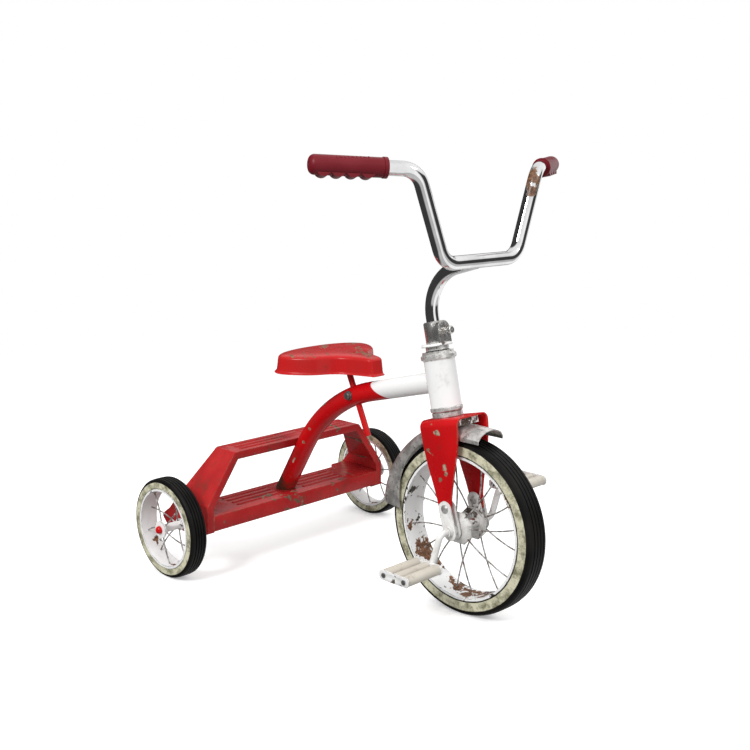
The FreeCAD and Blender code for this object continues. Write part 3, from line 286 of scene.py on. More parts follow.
# paint over an undercoat over brown steel; these hold for every colour of it
# a noise is its scale, detail and roughness; without a scale, the look gives it
# a spread of patches is how ragged and how soft they are, and the scale of the raggedness
enamelGrain = {
    "toneScale": 9.0, "toneRange": (0.3, 0.7), "toneDetail": 3.0,
    "dirtScale": 26.0, "dirtNoise": (6.0, 0.7), "dirtFade": 0.22,
    "scorchSpread": (1.5, 0.5, 60.0),
    "grimeNoise": (70.0, 4.0), "grimeTurn": (0.01, 0.25),
    "chipNoise": (5.0, 0.6), "chipDistort": 0.4, "chipFine": 0.6, "chipFade": 0.012,
    "coarseTimes": 7.0, "coarseDetail": 2.0, "chipCoarse": 0.55,
    "edgeNoise": (85.0, 4.0, 0.65), "edgeTurn": (0.05, 0.12), "edgeFade": 0.05,
    "scratchNoise": (60.0, 3.0, 0.5), "scratchFade": 0.02,
    "metalTimes": 1.6, "metalNoise": (4.0, 0.7), "metalRange": (0.38, 0.52),
    "rustRagged": 5.1, "rustSoft": 0.1, "rustScale": 75.0, "rustGrain": 240.0,
    "glossNoise": (40.0, 4.0), "wornRough": 0.35, "roughest": 0.85,
    "peelNoise": (190.0, 2.0), "peel": 0.10, "bump": 0.5, "depth": 0.0003,
}


def enamelPaint(tree, look):
    # the paint itself, with its dirt, a second colour and a scorched place
    grain = enamelGrain
    tone = noise(tree, look.get("toneScale", grain["toneScale"]), grain["toneDetail"])
    tone = step(tree, tone, *grain["toneRange"])
    colour = blended(tree, tone, look["paint"], look["paintDeep"])
    dirt = noise(tree, look.get("dirtScale", grain["dirtScale"]), *grain["dirtNoise"])
    dirt = step(tree, dirt, look["dirtFrom"], look["dirtFrom"] + grain["dirtFade"])
    dirt = sums(tree, "MULTIPLY", dirt, look["dirtAmount"])
    colour = blended(tree, dirt, colour, look["dirt"])
    if "secondPaint" in look:
        colour = blended(tree, look["secondShare"](tree), colour, look["secondPaint"])
    if "scorch" in look:
        scorched = spots(tree, look["scorch"], *grain["scorchSpread"])
        colour = blended(tree, scorched, colour, look["scorchColour"])
    if "grime" in look:
        corners = edgeWear(tree, look["grime"], *grain["grimeTurn"])
        soot = sums(tree, "MULTIPLY", corners, noise(tree, *grain["grimeNoise"]))
        colour = blended(tree, soot, colour, look["dirt"])
    return colour


def enamelWear(tree, look):
    # where the paint has gone: chips, spots, edges and scratches
    grain = enamelGrain
    fine = noise(tree, look["chipScale"], *grain["chipNoise"], distort=grain["chipDistort"])
    coarse = noise(tree, look["chipScale"] / grain["coarseTimes"], grain["coarseDetail"])
    fine = sums(tree, "MULTIPLY", fine, grain["chipFine"])
    chips = sums(tree, "MULTIPLY_ADD", coarse, grain["chipCoarse"], fine)
    masks = [step(tree, chips, look["chipFrom"], look["chipFrom"] + grain["chipFade"])]
    if "spots" in look:
        masks.append(spots(tree, look["spots"]))
    if look["edge"]:
        broken = noise(tree, *grain["edgeNoise"])
        broken = step(tree, broken, look["edgeBreak"], look["edgeBreak"] + grain["edgeFade"])
        worn = edgeWear(tree, look["edge"], *grain["edgeTurn"])
        masks.append(sums(tree, "MULTIPLY", worn, broken))
    for turn, stretch, cover in look.get("scratches", []):
        drawn = moved(tree, turn=turn, scale=stretch)
        lines = noise(tree, *grain["scratchNoise"], vector=drawn)
        masks.append(step(tree, lines, cover, cover + grain["scratchFade"]))
    if "extraWear" in look:
        masks.append(look["extraWear"](tree))
    return eitherOf(tree, masks)


def enamel(name, look):
    grain = enamelGrain
    material, tree, shader = newMaterial(name)
    bare = enamelWear(tree, look)
    inner = noise(tree, look["chipScale"] * grain["metalTimes"], *grain["metalNoise"])
    inner = step(tree, inner, *grain["metalRange"])
    bareColour = blended(tree, inner, look["undercoat"], look["bareMetal"])
    colour = blended(tree, bare, enamelPaint(tree, look), bareColour)
    if "rust" in look:
        ragged = look.get("rustRagged", grain["rustRagged"])
        rusted = spots(tree, look["rust"], ragged, grain["rustSoft"], grain["rustScale"])
        colour = rustOver(tree, colour, rusted, look, grain["rustGrain"])
        bare = eitherOf(tree, [bare, rusted])
    tree.links.new(colour, shader.inputs["Base Color"])
    gloss = noise(tree, *grain["glossNoise"])
    gloss = sums(tree, "MULTIPLY_ADD", gloss, look["roughSpread"], look["rough"])
    rough = sums(tree, "MULTIPLY_ADD", bare, grain["wornRough"], gloss)
    rough = sums(tree, "MINIMUM", rough, grain["roughest"])
    tree.links.new(rough, shader.inputs["Roughness"])
    shader.inputs["Specular IOR Level"].default_value = look["shine"]
    peel = sums(tree, "MULTIPLY", noise(tree, *grain["peelNoise"]), grain["peel"])
    bump(tree, shader, sums(tree, "SUBTRACT", peel, bare), grain["bump"], grain["depth"])
    return material


redLook = {
    "paint": (0.56, 0.004, 0.006), "paintDeep": (0.45, 0.003, 0.005),
    "dirt": (0.16, 0.02, 0.012), "dirtFrom": 0.56, "dirtAmount": 0.6,
    "undercoat": (0.40, 0.32, 0.24), "bareMetal": (0.20, 0.13, 0.08),
    "chipScale": 62.0, "chipFrom": 0.735, "edge": 0.0016, "edgeBreak": 0.5,
    "rough": 0.20, "roughSpread": 0.16, "shine": 0.22,
}
whiteLook = {
    "paint": (0.86, 0.86, 0.855), "paintDeep": (0.78, 0.78, 0.775),
    "dirt": (0.33, 0.30, 0.26), "dirtFrom": 0.56, "dirtAmount": 0.45,
    "undercoat": (0.24, 0.21, 0.18), "bareMetal": (0.08, 0.055, 0.04),
    "chipScale": 80.0, "chipFrom": 0.715, "edge": 0.0013, "edgeBreak": 0.47,
    "rough": 0.25, "roughSpread": 0.2, "shine": 0.35,
}
stepLook = dict(
    redLook, paint=(0.46, 0.022, 0.022), paintDeep=(0.36, 0.012, 0.014), toneScale=16.0,
    dirt=(0.15, 0.035, 0.022), dirtFrom=0.50, dirtAmount=0.6, dirtScale=38.0,
    undercoat=(0.30, 0.21, 0.15), bareMetal=(0.12, 0.08, 0.05), chipFrom=0.725, edgeBreak=0.42,
    scratches=[((0, 0, 88), (7.0, 0.8, 1.0), 0.665)])
forkLook = dict(redLook, chipFrom=0.765, edgeBreak=0.44, spots=boxPlaces("fork", [
    (0.0, 0.76, 0.93, 0.0042), (0.0, 0.70, 0.90, 0.0032), (0.0, 0.50, 0.83, 0.0046),
    (0.0, 0.58, 0.82, 0.0028), (0.0, 0.44, 0.88, 0.0016), (0.0, 0.30, 0.50, 0.0048),
    (0.0, 0.27, 0.45, 0.0036), (0.0, 0.40, 0.38, 0.0034), (0.0, 0.62, 0.6, 0.0014),
    (0.0, 0.3, 0.16, 0.0030), (1.0, 0.5, 0.8, 0.005), (1.0, 0.35, 0.5, 0.004),
    (0.30, 0.2, 1.0, 0.0022), (0.42, 0.3, 1.0, 0.0016)]))
rustTones = {"rustDark": (0.075, 0.030, 0.015), "rustLight": (0.25, 0.125, 0.065)}
red = enamel("RedEnamel", redLook)
stepRed = enamel("StepRed", stepLook)
forkRed = enamel("ForkRed", forkLook)
white = enamel("WhiteEnamel", whiteLook)
print("enamels ready")


# backbone: red with a white nose; the border curves back towards the underside
noseCut = {"slope": 14.3, "top": 0.002, "reach": 0.040, "power": 1.25, "blur": 0.0004}


def noseShare(tree):
    low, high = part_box("backbone_tube")
    radius = (high.x - low.x) / 2
    slope = math.tan(math.radians(noseCut["slope"]))
    middle = high.z - radius + low.y * slope
    x, y, z = axesOf(tree, place(tree))
    along = sums(tree, "MULTIPLY_ADD", y, slope, z)
    rise = sums(tree, "DIVIDE", sums(tree, "SUBTRACT", along, middle), radius)
    drop = sums(tree, "MULTIPLY", sums(tree, "SUBTRACT", 1.0, rise), 0.5)
    curve = sums(tree, "POWER", sums(tree, "MAXIMUM", drop, 0.0), noseCut["power"])
    border = sums(tree, "MULTIPLY_ADD", curve, -noseCut["reach"], noseCut["top"])
    return step(tree, sums(tree, "SUBTRACT", y, border), noseCut["blur"], -noseCut["blur"])


tubeLow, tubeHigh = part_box("backbone_tube")
backboneLook = dict(
    redLook, secondPaint=(0.80, 0.80, 0.79), secondShare=noseShare, chipFrom=0.76,
    scorch=[(0.0, tubeHigh.y - 0.018, tubeLow.z + 0.002, 0.026)], scorchColour=(0.05, 0.03, 0.018),
    spots=[(-0.008, 0.105, 0.262, 0.006), (-0.013, 0.135, 0.215, 0.003),
           (-0.014, 0.15, 0.19, 0.0028), (0.012, 0.08, 0.27, 0.005)])
backboneRed = enamel("BackbonePaint", backboneLook)

topWear = {"noise": (40.0, 6.0, 0.78), "turn": 48, "stretch": (3.4, 0.7, 1.0),
           "cover": (0.555, 0.60), "below": (0.0052, 0.0028)}


def seatTopWear(tree):
    # rubbed patches that only the crowned top has
    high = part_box("seat_pan")[1]
    x, y, z = axesOf(tree, place(tree))
    onTop = step(tree, z, high.z - topWear["below"][0], high.z - topWear["below"][1])
    drawn = moved(tree, turn=(0, 0, topWear["turn"]), scale=topWear["stretch"])
    rubbed = step(tree, noise(tree, *topWear["noise"], vector=drawn), *topWear["cover"])
    return sums(tree, "MULTIPLY", onTop, rubbed)


seatLook = dict(
    redLook, paint=(0.52, 0.006, 0.008), paintDeep=(0.42, 0.018, 0.016),
    undercoat=(0.26, 0.16, 0.10), bareMetal=(0.17, 0.085, 0.05),
    chipFrom=0.78, edge=None, extraWear=seatTopWear,
    spots=boxPlaces("seat_pan", [(0.80, 0.22, 0.86, 0.0045), (0.75, 0.7, 1.0, 0.004)]))
seatRed = enamel("SeatRed", seatLook)
print("paint on the backbone and the seat ready")


# bare and plated metals; these hold for all of them
metalGrain = {
    "blotchNoise": (5.0, 0.65), "blotchRange": (0.35, 0.65), "blotchHeight": 0.4,
    "speckNoise": (3.0, 0.7), "speckFade": 0.05,
    "rustSpread": (3.0, 0.15, 90.0), "rustGrain": 260.0,
    "roughTimes": 2, "roughDetail": 4.0, "roughest": 0.9, "depth": 0.0002,
}


def metal(name, look):
    grain = metalGrain
    material, tree, shader = newMaterial(name)
    blotch = noise(tree, look["blotchScale"], *grain["blotchNoise"])
    bright = step(tree, blotch, *grain["blotchRange"])
    colour = blended(tree, bright, look["dark"], look["light"])
    specks = noise(tree, look["speckScale"], *grain["speckNoise"])
    specks = step(tree, specks, look["speckFrom"], look["speckFrom"] + grain["speckFade"])
    speckShare = sums(tree, "MULTIPLY", specks, look["speckAmount"])
    colour = blended(tree, speckShare, colour, look["speck"])
    worn = specks
    metallic = look["metallic"]
    if "rust" in look:
        rusted = spots(tree, look["rust"], *grain["rustSpread"])
        colour = rustOver(tree, colour, rusted, rustTones, grain["rustGrain"])
        worn = eitherOf(tree, [specks, rusted])
        metallic = sums(tree, "MULTIPLY_ADD", rusted, -metallic, metallic)
    tree.links.new(colour, shader.inputs["Base Color"])
    feed(tree, shader.inputs["Metallic"], metallic)
    rough = noise(tree, look["blotchScale"] * grain["roughTimes"], grain["roughDetail"])
    rough = sums(tree, "MULTIPLY_ADD", rough, look["roughSpread"], look["rough"])
    rough = sums(tree, "MULTIPLY_ADD", worn, look["wornRough"], rough)
    rough = sums(tree, "MINIMUM", rough, grain["roughest"])
    tree.links.new(rough, shader.inputs["Roughness"])
    height = sums(tree, "SUBTRACT", sums(tree, "MULTIPLY", blotch, grain["blotchHeight"]), worn)
    bump(tree, shader, height, look["bump"], grain["depth"])
    return material


# the plating has failed on the inner side of the left upper bend
bendZone = {"below": 0.03, "rust": [
    ((0.0, 0.0, 0.0), 0.013), ((-0.006, -0.008, -0.018), 0.008), ((0.004, 0.012, 0.002), 0.008)]}
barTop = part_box("handlebar")[1].z
upperLeft = [vertex.co for vertex in nodes["handlebar"].data.vertices
             if vertex.co.z > barTop - bendZone["below"] and vertex.co.x > 0.0]
bend = min(upperLeft, key=lambda spot: spot.x).copy()
bendRust = [(*(bend + Vector(offset)), radius) for offset, radius in bendZone["rust"]]

chrome = metal("Chrome", {
    "light": (0.80, 0.80, 0.80), "dark": (0.66, 0.66, 0.665), "speck": (0.12, 0.09, 0.07),
    "blotchScale": 30.0, "speckScale": 420.0, "speckFrom": 0.7, "speckAmount": 0.5,
    "metallic": 1.0, "rough": 0.03, "roughSpread": 0.06, "wornRough": 0.3, "bump": 0.12,
    "rust": bendRust})
dullPlating = metal("DullPlating", {
    "light": (0.72, 0.71, 0.69), "dark": (0.50, 0.49, 0.475), "speck": (0.16, 0.10, 0.06),
    "blotchScale": 60.0, "speckScale": 210.0, "speckFrom": 0.60, "speckAmount": 0.7,
    "metallic": 0.9, "rough": 0.16, "roughSpread": 0.22, "wornRough": 0.35, "bump": 0.3})
galvanised = metal("Galvanised", {
    "light": (0.82, 0.81, 0.79), "dark": (0.42, 0.415, 0.40), "speck": (0.12, 0.09, 0.06),
    "blotchScale": 95.0, "speckScale": 190.0, "speckFrom": 0.60, "speckAmount": 0.75,
    "metallic": 0.6, "rough": 0.3, "roughSpread": 0.25, "wornRough": 0.25, "bump": 0.35})
fenderPlate = metal("FenderPlate", {
    "light": (0.80, 0.78, 0.75), "dark": (0.36, 0.35, 0.335), "speck": (0.10, 0.075, 0.055),
    "blotchScale": 40.0, "speckScale": 150.0, "speckFrom": 0.58, "speckAmount": 0.7,
    "metallic": 0.7, "rough": 0.24, "roughSpread": 0.3, "wornRough": 0.25, "bump": 0.35})
darkSteel = metal("DarkSteel", {
    "light": (0.26, 0.255, 0.25), "dark": (0.11, 0.105, 0.10), "speck": (0.16, 0.07, 0.03),
    "blotchScale": 120.0, "speckScale": 300.0, "speckFrom": 0.6, "speckAmount": 0.6,
    "metallic": 0.7, "rough": 0.38, "roughSpread": 0.2, "wornRough": 0.2, "bump": 0.4})
wire = metal("SpokeWire", {
    "light": (0.62, 0.61, 0.60), "dark": (0.10, 0.09, 0.08), "speck": (0.15, 0.07, 0.035),
    "blotchScale": 120.0, "speckScale": 150.0, "speckFrom": 0.56, "speckAmount": 0.8,
    "metallic": 0.5, "rough": 0.4, "roughSpread": 0.2, "wornRough": 0.2, "bump": 0.4})
print("metals ready")


# rubber and moulded grips; the tyres have a cream band on their sides
rubberGrain = {"toneNoise": (14.0, 5.0, 0.6), "toneRange": (0.35, 0.7), "glossNoise": (25.0, 3.0),
               "heightNoise": (320.0, 4.0, 0.7), "depth": 0.0003}
bandGrain = {
    "wobbleNoise": (60.0, 3.0), "wobble": 0.0012, "innerBlur": 0.0003, "outerBlur": 0.0004,
    "light": (0.62, 0.60, 0.44), "dark": (0.20, 0.19, 0.12),
    "mottleNoise": (48.0, 7.0, 0.75), "mottleRange": (0.42, 0.64),
    "grime": (0.09, 0.08, 0.06), "grimeAmount": 0.6,
    "grimeNoise": (150.0, 5.0, 0.75), "grimeRange": (0.55, 0.66),
}


def overBand(tree, colour, band):
    # cream between two radii about the wheel's centre
    grain = bandGrain
    centre, inner, outer = band
    x, y, z = axesOf(tree, moved(tree, centre=centre))
    radius = sums(tree, "SQRT", sums(tree, "MULTIPLY_ADD", z, z, sums(tree, "MULTIPLY", y, y)))
    wobble = noise(tree, *grain["wobbleNoise"])
    wobble = sums(tree, "MULTIPLY_ADD", wobble, grain["wobble"], -grain["wobble"] / 2)
    radius = sums(tree, "ADD", radius, wobble)
    pastInner = step(tree, radius, inner - grain["innerBlur"], inner + grain["innerBlur"])
    withinOuter = step(tree, radius, outer + grain["outerBlur"], outer - grain["outerBlur"])
    mottle = step(tree, noise(tree, *grain["mottleNoise"]), *grain["mottleRange"])
    cream = blended(tree, mottle, grain["light"], grain["dark"])
    grime = step(tree, noise(tree, *grain["grimeNoise"]), *grain["grimeRange"])
    grime = sums(tree, "MULTIPLY", grime, grain["grimeAmount"])
    cream = blended(tree, grime, cream, grain["grime"])
    return blended(tree, sums(tree, "MULTIPLY", pastInner, withinOuter), colour, cream)


def rubber(name, look):
    grain = rubberGrain
    material, tree, shader = newMaterial(name)
    tone = step(tree, noise(tree, *grain["toneNoise"]), *grain["toneRange"])
    colour = blended(tree, tone, look["colour"], look["dusty"])
    if "band" in look:
        colour = overBand(tree, colour, look["band"])
    tree.links.new(colour, shader.inputs["Base Color"])
    rough = noise(tree, *grain["glossNoise"])
    rough = sums(tree, "MULTIPLY_ADD", rough, look["roughSpread"], look["rough"])
    tree.links.new(rough, shader.inputs["Roughness"])
    shader.inputs["Specular IOR Level"].default_value = look["shine"]
    bump(tree, shader, noise(tree, *grain["heightNoise"]), look["bump"], grain["depth"])
    return material


tyreLook = {"colour": (0.0032, 0.0030, 0.0030), "dusty": (0.011, 0.010, 0.009),
            "rough": 0.42, "roughSpread": 0.2, "bump": 0.18, "shine": 0.13}
gripLook = {"colour": (0.145, 0.004, 0.010), "dusty": (0.175, 0.010, 0.018),
            "rough": 0.34, "roughSpread": 0.12, "bump": 0.15, "shine": 0.22}
# how far inside the tread the band ends at the rim and at the shoulder
frontBand = {"rim": 0.0205, "shoulder": 0.0078}
rearBand = {"rim": 0.0150, "shoulder": 0.0056}


def tyreRubber(name, tyreNode, width):
    low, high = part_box(tyreNode)
    radius = (high.z - low.z) / 2
    band = (tuple((low + high) / 2), radius - width["rim"], radius - width["shoulder"])
    return rubber(name, dict(tyreLook, band=band))


frontRubber = tyreRubber("FrontTyreRubber", "front_tyre", frontBand)
rearRubberRight = tyreRubber("RearTyreRubberRight", "rear_tyre_right", rearBand)
rearRubberLeft = tyreRubber("RearTyreRubberLeft", "rear_tyre_left", rearBand)
gripRubber = rubber("GripRubber", gripLook)

pedalLook = dict(
    whiteLook, paint=(0.66, 0.62, 0.54), paintDeep=(0.54, 0.50, 0.43),
    dirt=(0.30, 0.26, 0.21), dirtFrom=0.5, dirtAmount=0.65, dirtScale=60.0,
    undercoat=(0.30, 0.27, 0.22), bareMetal=(0.17, 0.14, 0.11),
    chipFrom=0.75, edge=None, rough=0.38)
pedalCream = enamel("PedalCream", pedalLook)
pedalWhite = enamel("PedalWhite", dict(whiteLook, chipFrom=0.68, chipScale=140.0, dirtFrom=0.53))
print("rubber and plastic ready")


# white paint of the wheels, hubs and brackets
wheelLook = dict(whiteLook, chipScale=95.0, edgeBreak=0.44,
                 undercoat=(0.10, 0.085, 0.07), bareMetal=(0.035, 0.028, 0.022), **rustTones)
frontRust = [(0.7, 0.89, 0.17, 0.017), (0.6, 0.93, 0.24, 0.012), (0.75, 0.8, 0.1, 0.010),
             (0.7, 0.62, 0.03, 0.010), (0.6, 0.47, 0.0, 0.016), (0.7, 0.38, 0.01, 0.010),
             (0.3, 0.98, 0.4, 0.007), (0.4, 0.3, 0.05, 0.008), (0.25, 0.1, 0.8, 0.010),
             (0.6, 0.04, 0.3, 0.008)]
rearRust = [(0.6, 0.9, 0.2, 0.006), (0.4, 0.4, 0.0, 0.006)]


def wheelPaint(name, node, rustShares, chipFrom):
    return enamel(name, dict(wheelLook, chipFrom=chipFrom, rust=boxPlaces(node, rustShares)))


frontRimPaint = wheelPaint("FrontRimPaint", "front_rim", frontRust, 0.672)
rearRimPaintRight = wheelPaint("RearRimPaintRight", "rear_rim_right", rearRust, 0.69)
rearRimPaintLeft = wheelPaint("RearRimPaintLeft", "rear_rim_left", rearRust, 0.71)
hubLook = dict(
    whiteLook, paint=(0.84, 0.835, 0.82), paintDeep=(0.66, 0.65, 0.635), dirtFrom=0.52,
    dirtAmount=0.55, dirtScale=60.0, chipFrom=0.70, grime=0.003,
    rust=[(-0.016, -0.181, 0.132, 0.0035), (0.012, -0.181, 0.130, 0.0045)],
    rustRagged=2.4, rustDark=(0.10, 0.020, 0.012), rustLight=(0.24, 0.05, 0.03))
plateLook = dict(
    whiteLook, paint=(0.80, 0.79, 0.77), paintDeep=(0.60, 0.59, 0.575), dirtFrom=0.47,
    dirtAmount=0.6, dirtScale=70.0, chipFrom=0.69, grime=0.004)
hubWhite = enamel("HubWhite", hubLook)
plateWhite = enamel("PlateWhite", plateLook)
bracketWhite = enamel("BracketWhite", dict(whiteLook, chipFrom=0.62, chipScale=120.0))
print("wheel paints ready")


# finish on every piece that keeps its own mesh
finishes = [
    (red, ["seat_post", "seat_bracket", "hub_caps"]),
    (backboneRed, ["backbone_tube"]),
    (white, ["head_tube", "lock_washer", "rear_hub_left", "rear_hub_right"]),
    (hubWhite, ["front_hub_barrel", "crank_axle", "axle_bushes"]),
    (bracketWhite, ["fender_bracket"]),
    (chrome, ["handlebar", "handlebar_stem"]),
    (galvanised, ["lower_race", "head_cup_lower", "head_cup_upper", "head_cone_upper",
                  "steerer_tube"]),
    (darkSteel, ["head_balls", "fender_screw", "rear_axle", "rear_axle_washers"]),
    (seatRed, ["seat_rivets"]),
    (wire, ["front_spokes", "rear_spokes_left", "rear_spokes_right"]),
    (frontRubber, ["front_tyre"]),
    (rearRubberRight, ["rear_tyre_right"]),
    (rearRubberLeft, ["rear_tyre_left"]),
    (frontRimPaint, ["front_rim"]),
    (rearRimPaintRight, ["rear_rim_right"]),
    (rearRimPaintLeft, ["rear_rim_left"]),
    (gripRubber, ["grip_left", "grip_right"]),
]
for material, names in finishes:
    for name in names:
        paint(name, material)

# finish and edge radius of every piece that gets softer edges
softPieces = [
    (stepRed, 0.0008, ["lower_step", "upper_step"]),
    (forkRed, 0.0009, ["fork"]),
    (hubWhite, 0.0006, ["bearing_hanger_left", "bearing_hanger_right"]),
    (plateWhite, 0.0004, ["front_hub_plate_left", "front_hub_plate_right"]),
    (fenderPlate, 0.0004, ["fender"]),
    (dullPlating, 0.0003, ["stem_lug", "stem_lug_bolt"]),
    (galvanised, 0.0005, ["hanger_rivets"]),
    (darkSteel, 0.0005, ["seat_clamp_bolt", "seat_clamp_collar", "pedal_left_bolts",
                         "pedal_right_bolts"]),
    (pedalWhite, 0.0006, ["pedal_left_plates", "pedal_right_plates"]),
    (pedalCream, 0.0008, ["pedal_left_blocks", "pedal_right_blocks", "pedal_left_sleeve",
                          "pedal_right_sleeve"]),
]
softCopies = {name: softened(name, material, width)
              for material, width, names in softPieces for name in names}

# the fork's front edge is rolled outwards all the way round
forkRoll = {"forward": 0.0007, "outward": 1.018, "lean": 12.8, "facing": 0.9, "bevel": 0.0003,
            "sharpFrom": 40}


def rollForkEdge(piece, look):
    lean = math.radians(look["lean"])
    ahead = Vector((0, -math.cos(lean), math.sin(lean)))
    for part in list(piece.data.edges) + list(piece.data.vertices):
        part.select = False
    for face in piece.data.polygons:
        face.select = face.normal.dot(ahead) > look["facing"]
    pickOnly(piece)
    bpy.ops.object.mode_set(mode="EDIT")
    bpy.ops.mesh.select_mode(type="FACE")
    bpy.ops.mesh.extrude_region_move(TRANSFORM_OT_translate={"value": ahead * look["forward"]})
    bpy.ops.transform.resize(value=(look["outward"], 1, 1), center_override=(0, 0, 0))
    bpy.ops.object.mode_set(mode="OBJECT")
    applyModifier(piece, "BEVEL", width=look["bevel"], segments=2, limit_method="ANGLE",
                  angle_limit=math.radians(look["sharpFrom"]))
    smoothShade(piece, softening["smoothUpTo"])


rollForkEdge(softCopies["fork"], forkRoll)
print("carried-over pieces finished")


# seat pan: pressed from one sheet, with a crowned top and a flared lip
# the outline is half the plan, in shares of the half width and the length
# crown and skirt are rings: a size and how far each rises or drops
seatShape = {
    "sheet": 0.0013, "about": 0.55, "rearMiddle": 0.978, "topGap": 0.0002, "smoothUpTo": 50,
    "outline": [
        (0.0, 0.0), (0.09, 0.0), (0.14, 0.008), (0.168, 0.06), (0.215, 0.154), (0.27, 0.243),
        (0.33, 0.314), (0.425, 0.367), (0.55, 0.402), (0.665, 0.438), (0.77, 0.497),
        (0.863, 0.568), (0.935, 0.640), (0.972, 0.715), (0.955, 0.775), (0.89, 0.832),
        (0.785, 0.885), (0.62, 0.93), (0.41, 0.962), (0.20, 0.975)],
    "crown": [(0.994, 0.0008), (0.982, 0.0012), (0.945, 0.0014), (0.87, 0.0012),
              (0.75, 0.0009), (0.58, 0.0006), (0.34, 0.0003), (0.12, 0.0001)],
    "skirt": [(1.004, 0.0008), (1.008, 0.0054), (1.010, 0.0074), (1.008, 0.0052),
              (1.010, 0.0020), (1.022, 0.0012), (1.006, 0.0008)]}


def ringDown(scale, drop, middle):
    # pull the chosen loop out, then move it down and size it about the middle
    bpy.ops.mesh.extrude_region_move(TRANSFORM_OT_translate={"value": (0, 0, -drop)})
    bpy.ops.transform.resize(value=(scale, scale, 1), center_override=middle)


def makeSeat(look):
    low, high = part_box("seat_pan")
    halfWidth = (high.x - low.x) / 2
    length = high.y - low.y
    growth = math.prod(size for size, drop in look["skirt"])
    shoulder = low.z + sum(drop for size, drop in look["skirt"]) + look["topGap"]
    middle = Vector((0, low.y + look["about"] * length, shoulder))
    side = look["outline"] + [(0.0, look["rearMiddle"])]
    loop = side + [(-x, y) for x, y in reversed(side[1:-1])]
    bpy.ops.object.select_all(action="DESELECT")
    bpy.ops.mesh.primitive_circle_add(vertices=len(loop), radius=halfWidth, fill_type="NOTHING",
                                      location=(0, 0, 0))
    piece = bpy.context.object
    piece.name = piece.data.name = "SeatPanPressed"
    for vertex, (x, y) in zip(piece.data.vertices, loop):
        spot = Vector((x * halfWidth, low.y + y * length, shoulder))
        vertex.co = middle + (spot - middle) / growth
        vertex.co.z = shoulder
    bpy.ops.object.mode_set(mode="EDIT")
    bpy.ops.mesh.select_mode(type="EDGE")
    bpy.ops.mesh.select_all(action="SELECT")
    size = 1.0
    for share, rise in look["crown"]:
        ringDown(share / size, -rise, middle)
        size = share
    bpy.ops.mesh.edge_face_add()
    bpy.ops.object.mode_set(mode="OBJECT")
    # back to the first loop, which the skirt grows from
    for edge in piece.data.edges:
        ends = [piece.data.vertices[index] for index in edge.vertices]
        edge.select = all(abs(end.co.z - shoulder) < 1e-6 for end in ends)
    for face in piece.data.polygons:
        face.select = False
    bpy.ops.object.mode_set(mode="EDIT")
    bpy.ops.mesh.select_mode(type="EDGE")
    for share, drop in look["skirt"]:
        ringDown(share, drop, middle)
    bpy.ops.object.mode_set(mode="OBJECT")
    tidyNormals(piece)
    applyModifier(piece, "SUBSURF", levels=2, render_levels=2)
    applyModifier(piece, "SOLIDIFY", thickness=look["sheet"], offset=-1.0)
    smoothShade(piece, look["smoothUpTo"])
    piece.data.materials.append(seatRed)
    return settle(piece, "seat", "red_enamel", "seat_pan")


makeSeat(seatShape)
print("seat ready")


# grips: a row of plain raised bars moulded along each one
gripMarks = {
    "count": 9, "from": 0.28, "to": 0.74, "size": (0.0042, 0.0022, 0.0009), "bevel": 0.0004,
    "facing": (0.0, -0.66, 0.75), "away": 0.05,
    "innerEnd": 0.004, "outerEnd": 0.012, "ring": 0.004, "smoothUpTo": 60,
}


def ringMiddle(spots, near, within):
    # the middle of the grip at a distance from the centre plane
    ring = [spot for spot in spots if abs(abs(spot.x) - near) < within]
    low = Vector([min(spot[i] for spot in ring) for i in range(3)])
    high = Vector([max(spot[i] for spot in ring) for i in range(3)])
    return (low + high) / 2


def makeGripMarks(side, look):
    grip = nodes["grip_" + side]
    spots = [vertex.co for vertex in grip.data.vertices]
    inner = min(abs(spot.x) for spot in spots) + look["innerEnd"]
    outer = max(abs(spot.x) for spot in spots) - look["outerEnd"]
    start = ringMiddle(spots, inner, look["ring"])
    end = ringMiddle(spots, outer, look["ring"])
    axis = (end - start).normalized()
    facing = Vector(look["facing"])
    facing = (facing - axis * facing.dot(axis)).normalized()
    turn = Matrix((axis, facing.cross(axis), facing)).transposed()
    marks = []
    for index in range(look["count"]):
        share = look["from"] + (look["to"] - look["from"]) * index / (look["count"] - 1)
        middle = start.lerp(end, share)
        spot = grip.ray_cast(middle + facing * look["away"], -facing)[1]
        # every third bar lies along the grip, the others across it
        across = Matrix.Rotation(math.radians(0 if index % 3 == 1 else 90), 3, "Z")
        bpy.ops.object.select_all(action="DESELECT")
        bpy.ops.mesh.primitive_cube_add(size=1, location=spot, rotation=(turn @ across).to_euler(),
                                        scale=look["size"])
        mark = bpy.context.object
        applyPlace(mark)
        applyModifier(mark, "BEVEL", width=look["bevel"], segments=3)
        marks.append(mark)
    row = joined(marks, "GripMarks" + side.title())
    tidyNormals(row)
    smoothShade(row, look["smoothUpTo"])
    row.data.materials.append(gripRubber)
    return settle(row, "handlebar", "grip_rubber")


for side in ("left", "right"):
    makeGripMarks(side, gripMarks)
print("grip marks ready")


# floor: white that fades out to the white around it
floorLook = {"radius": 2.4, "fadeStart": 0.45, "fadeEnd": 0.97, "colour": (0.93, 0.93, 0.93),
             "rough": 0.9, "shine": 0.1, "glow": 0.3}


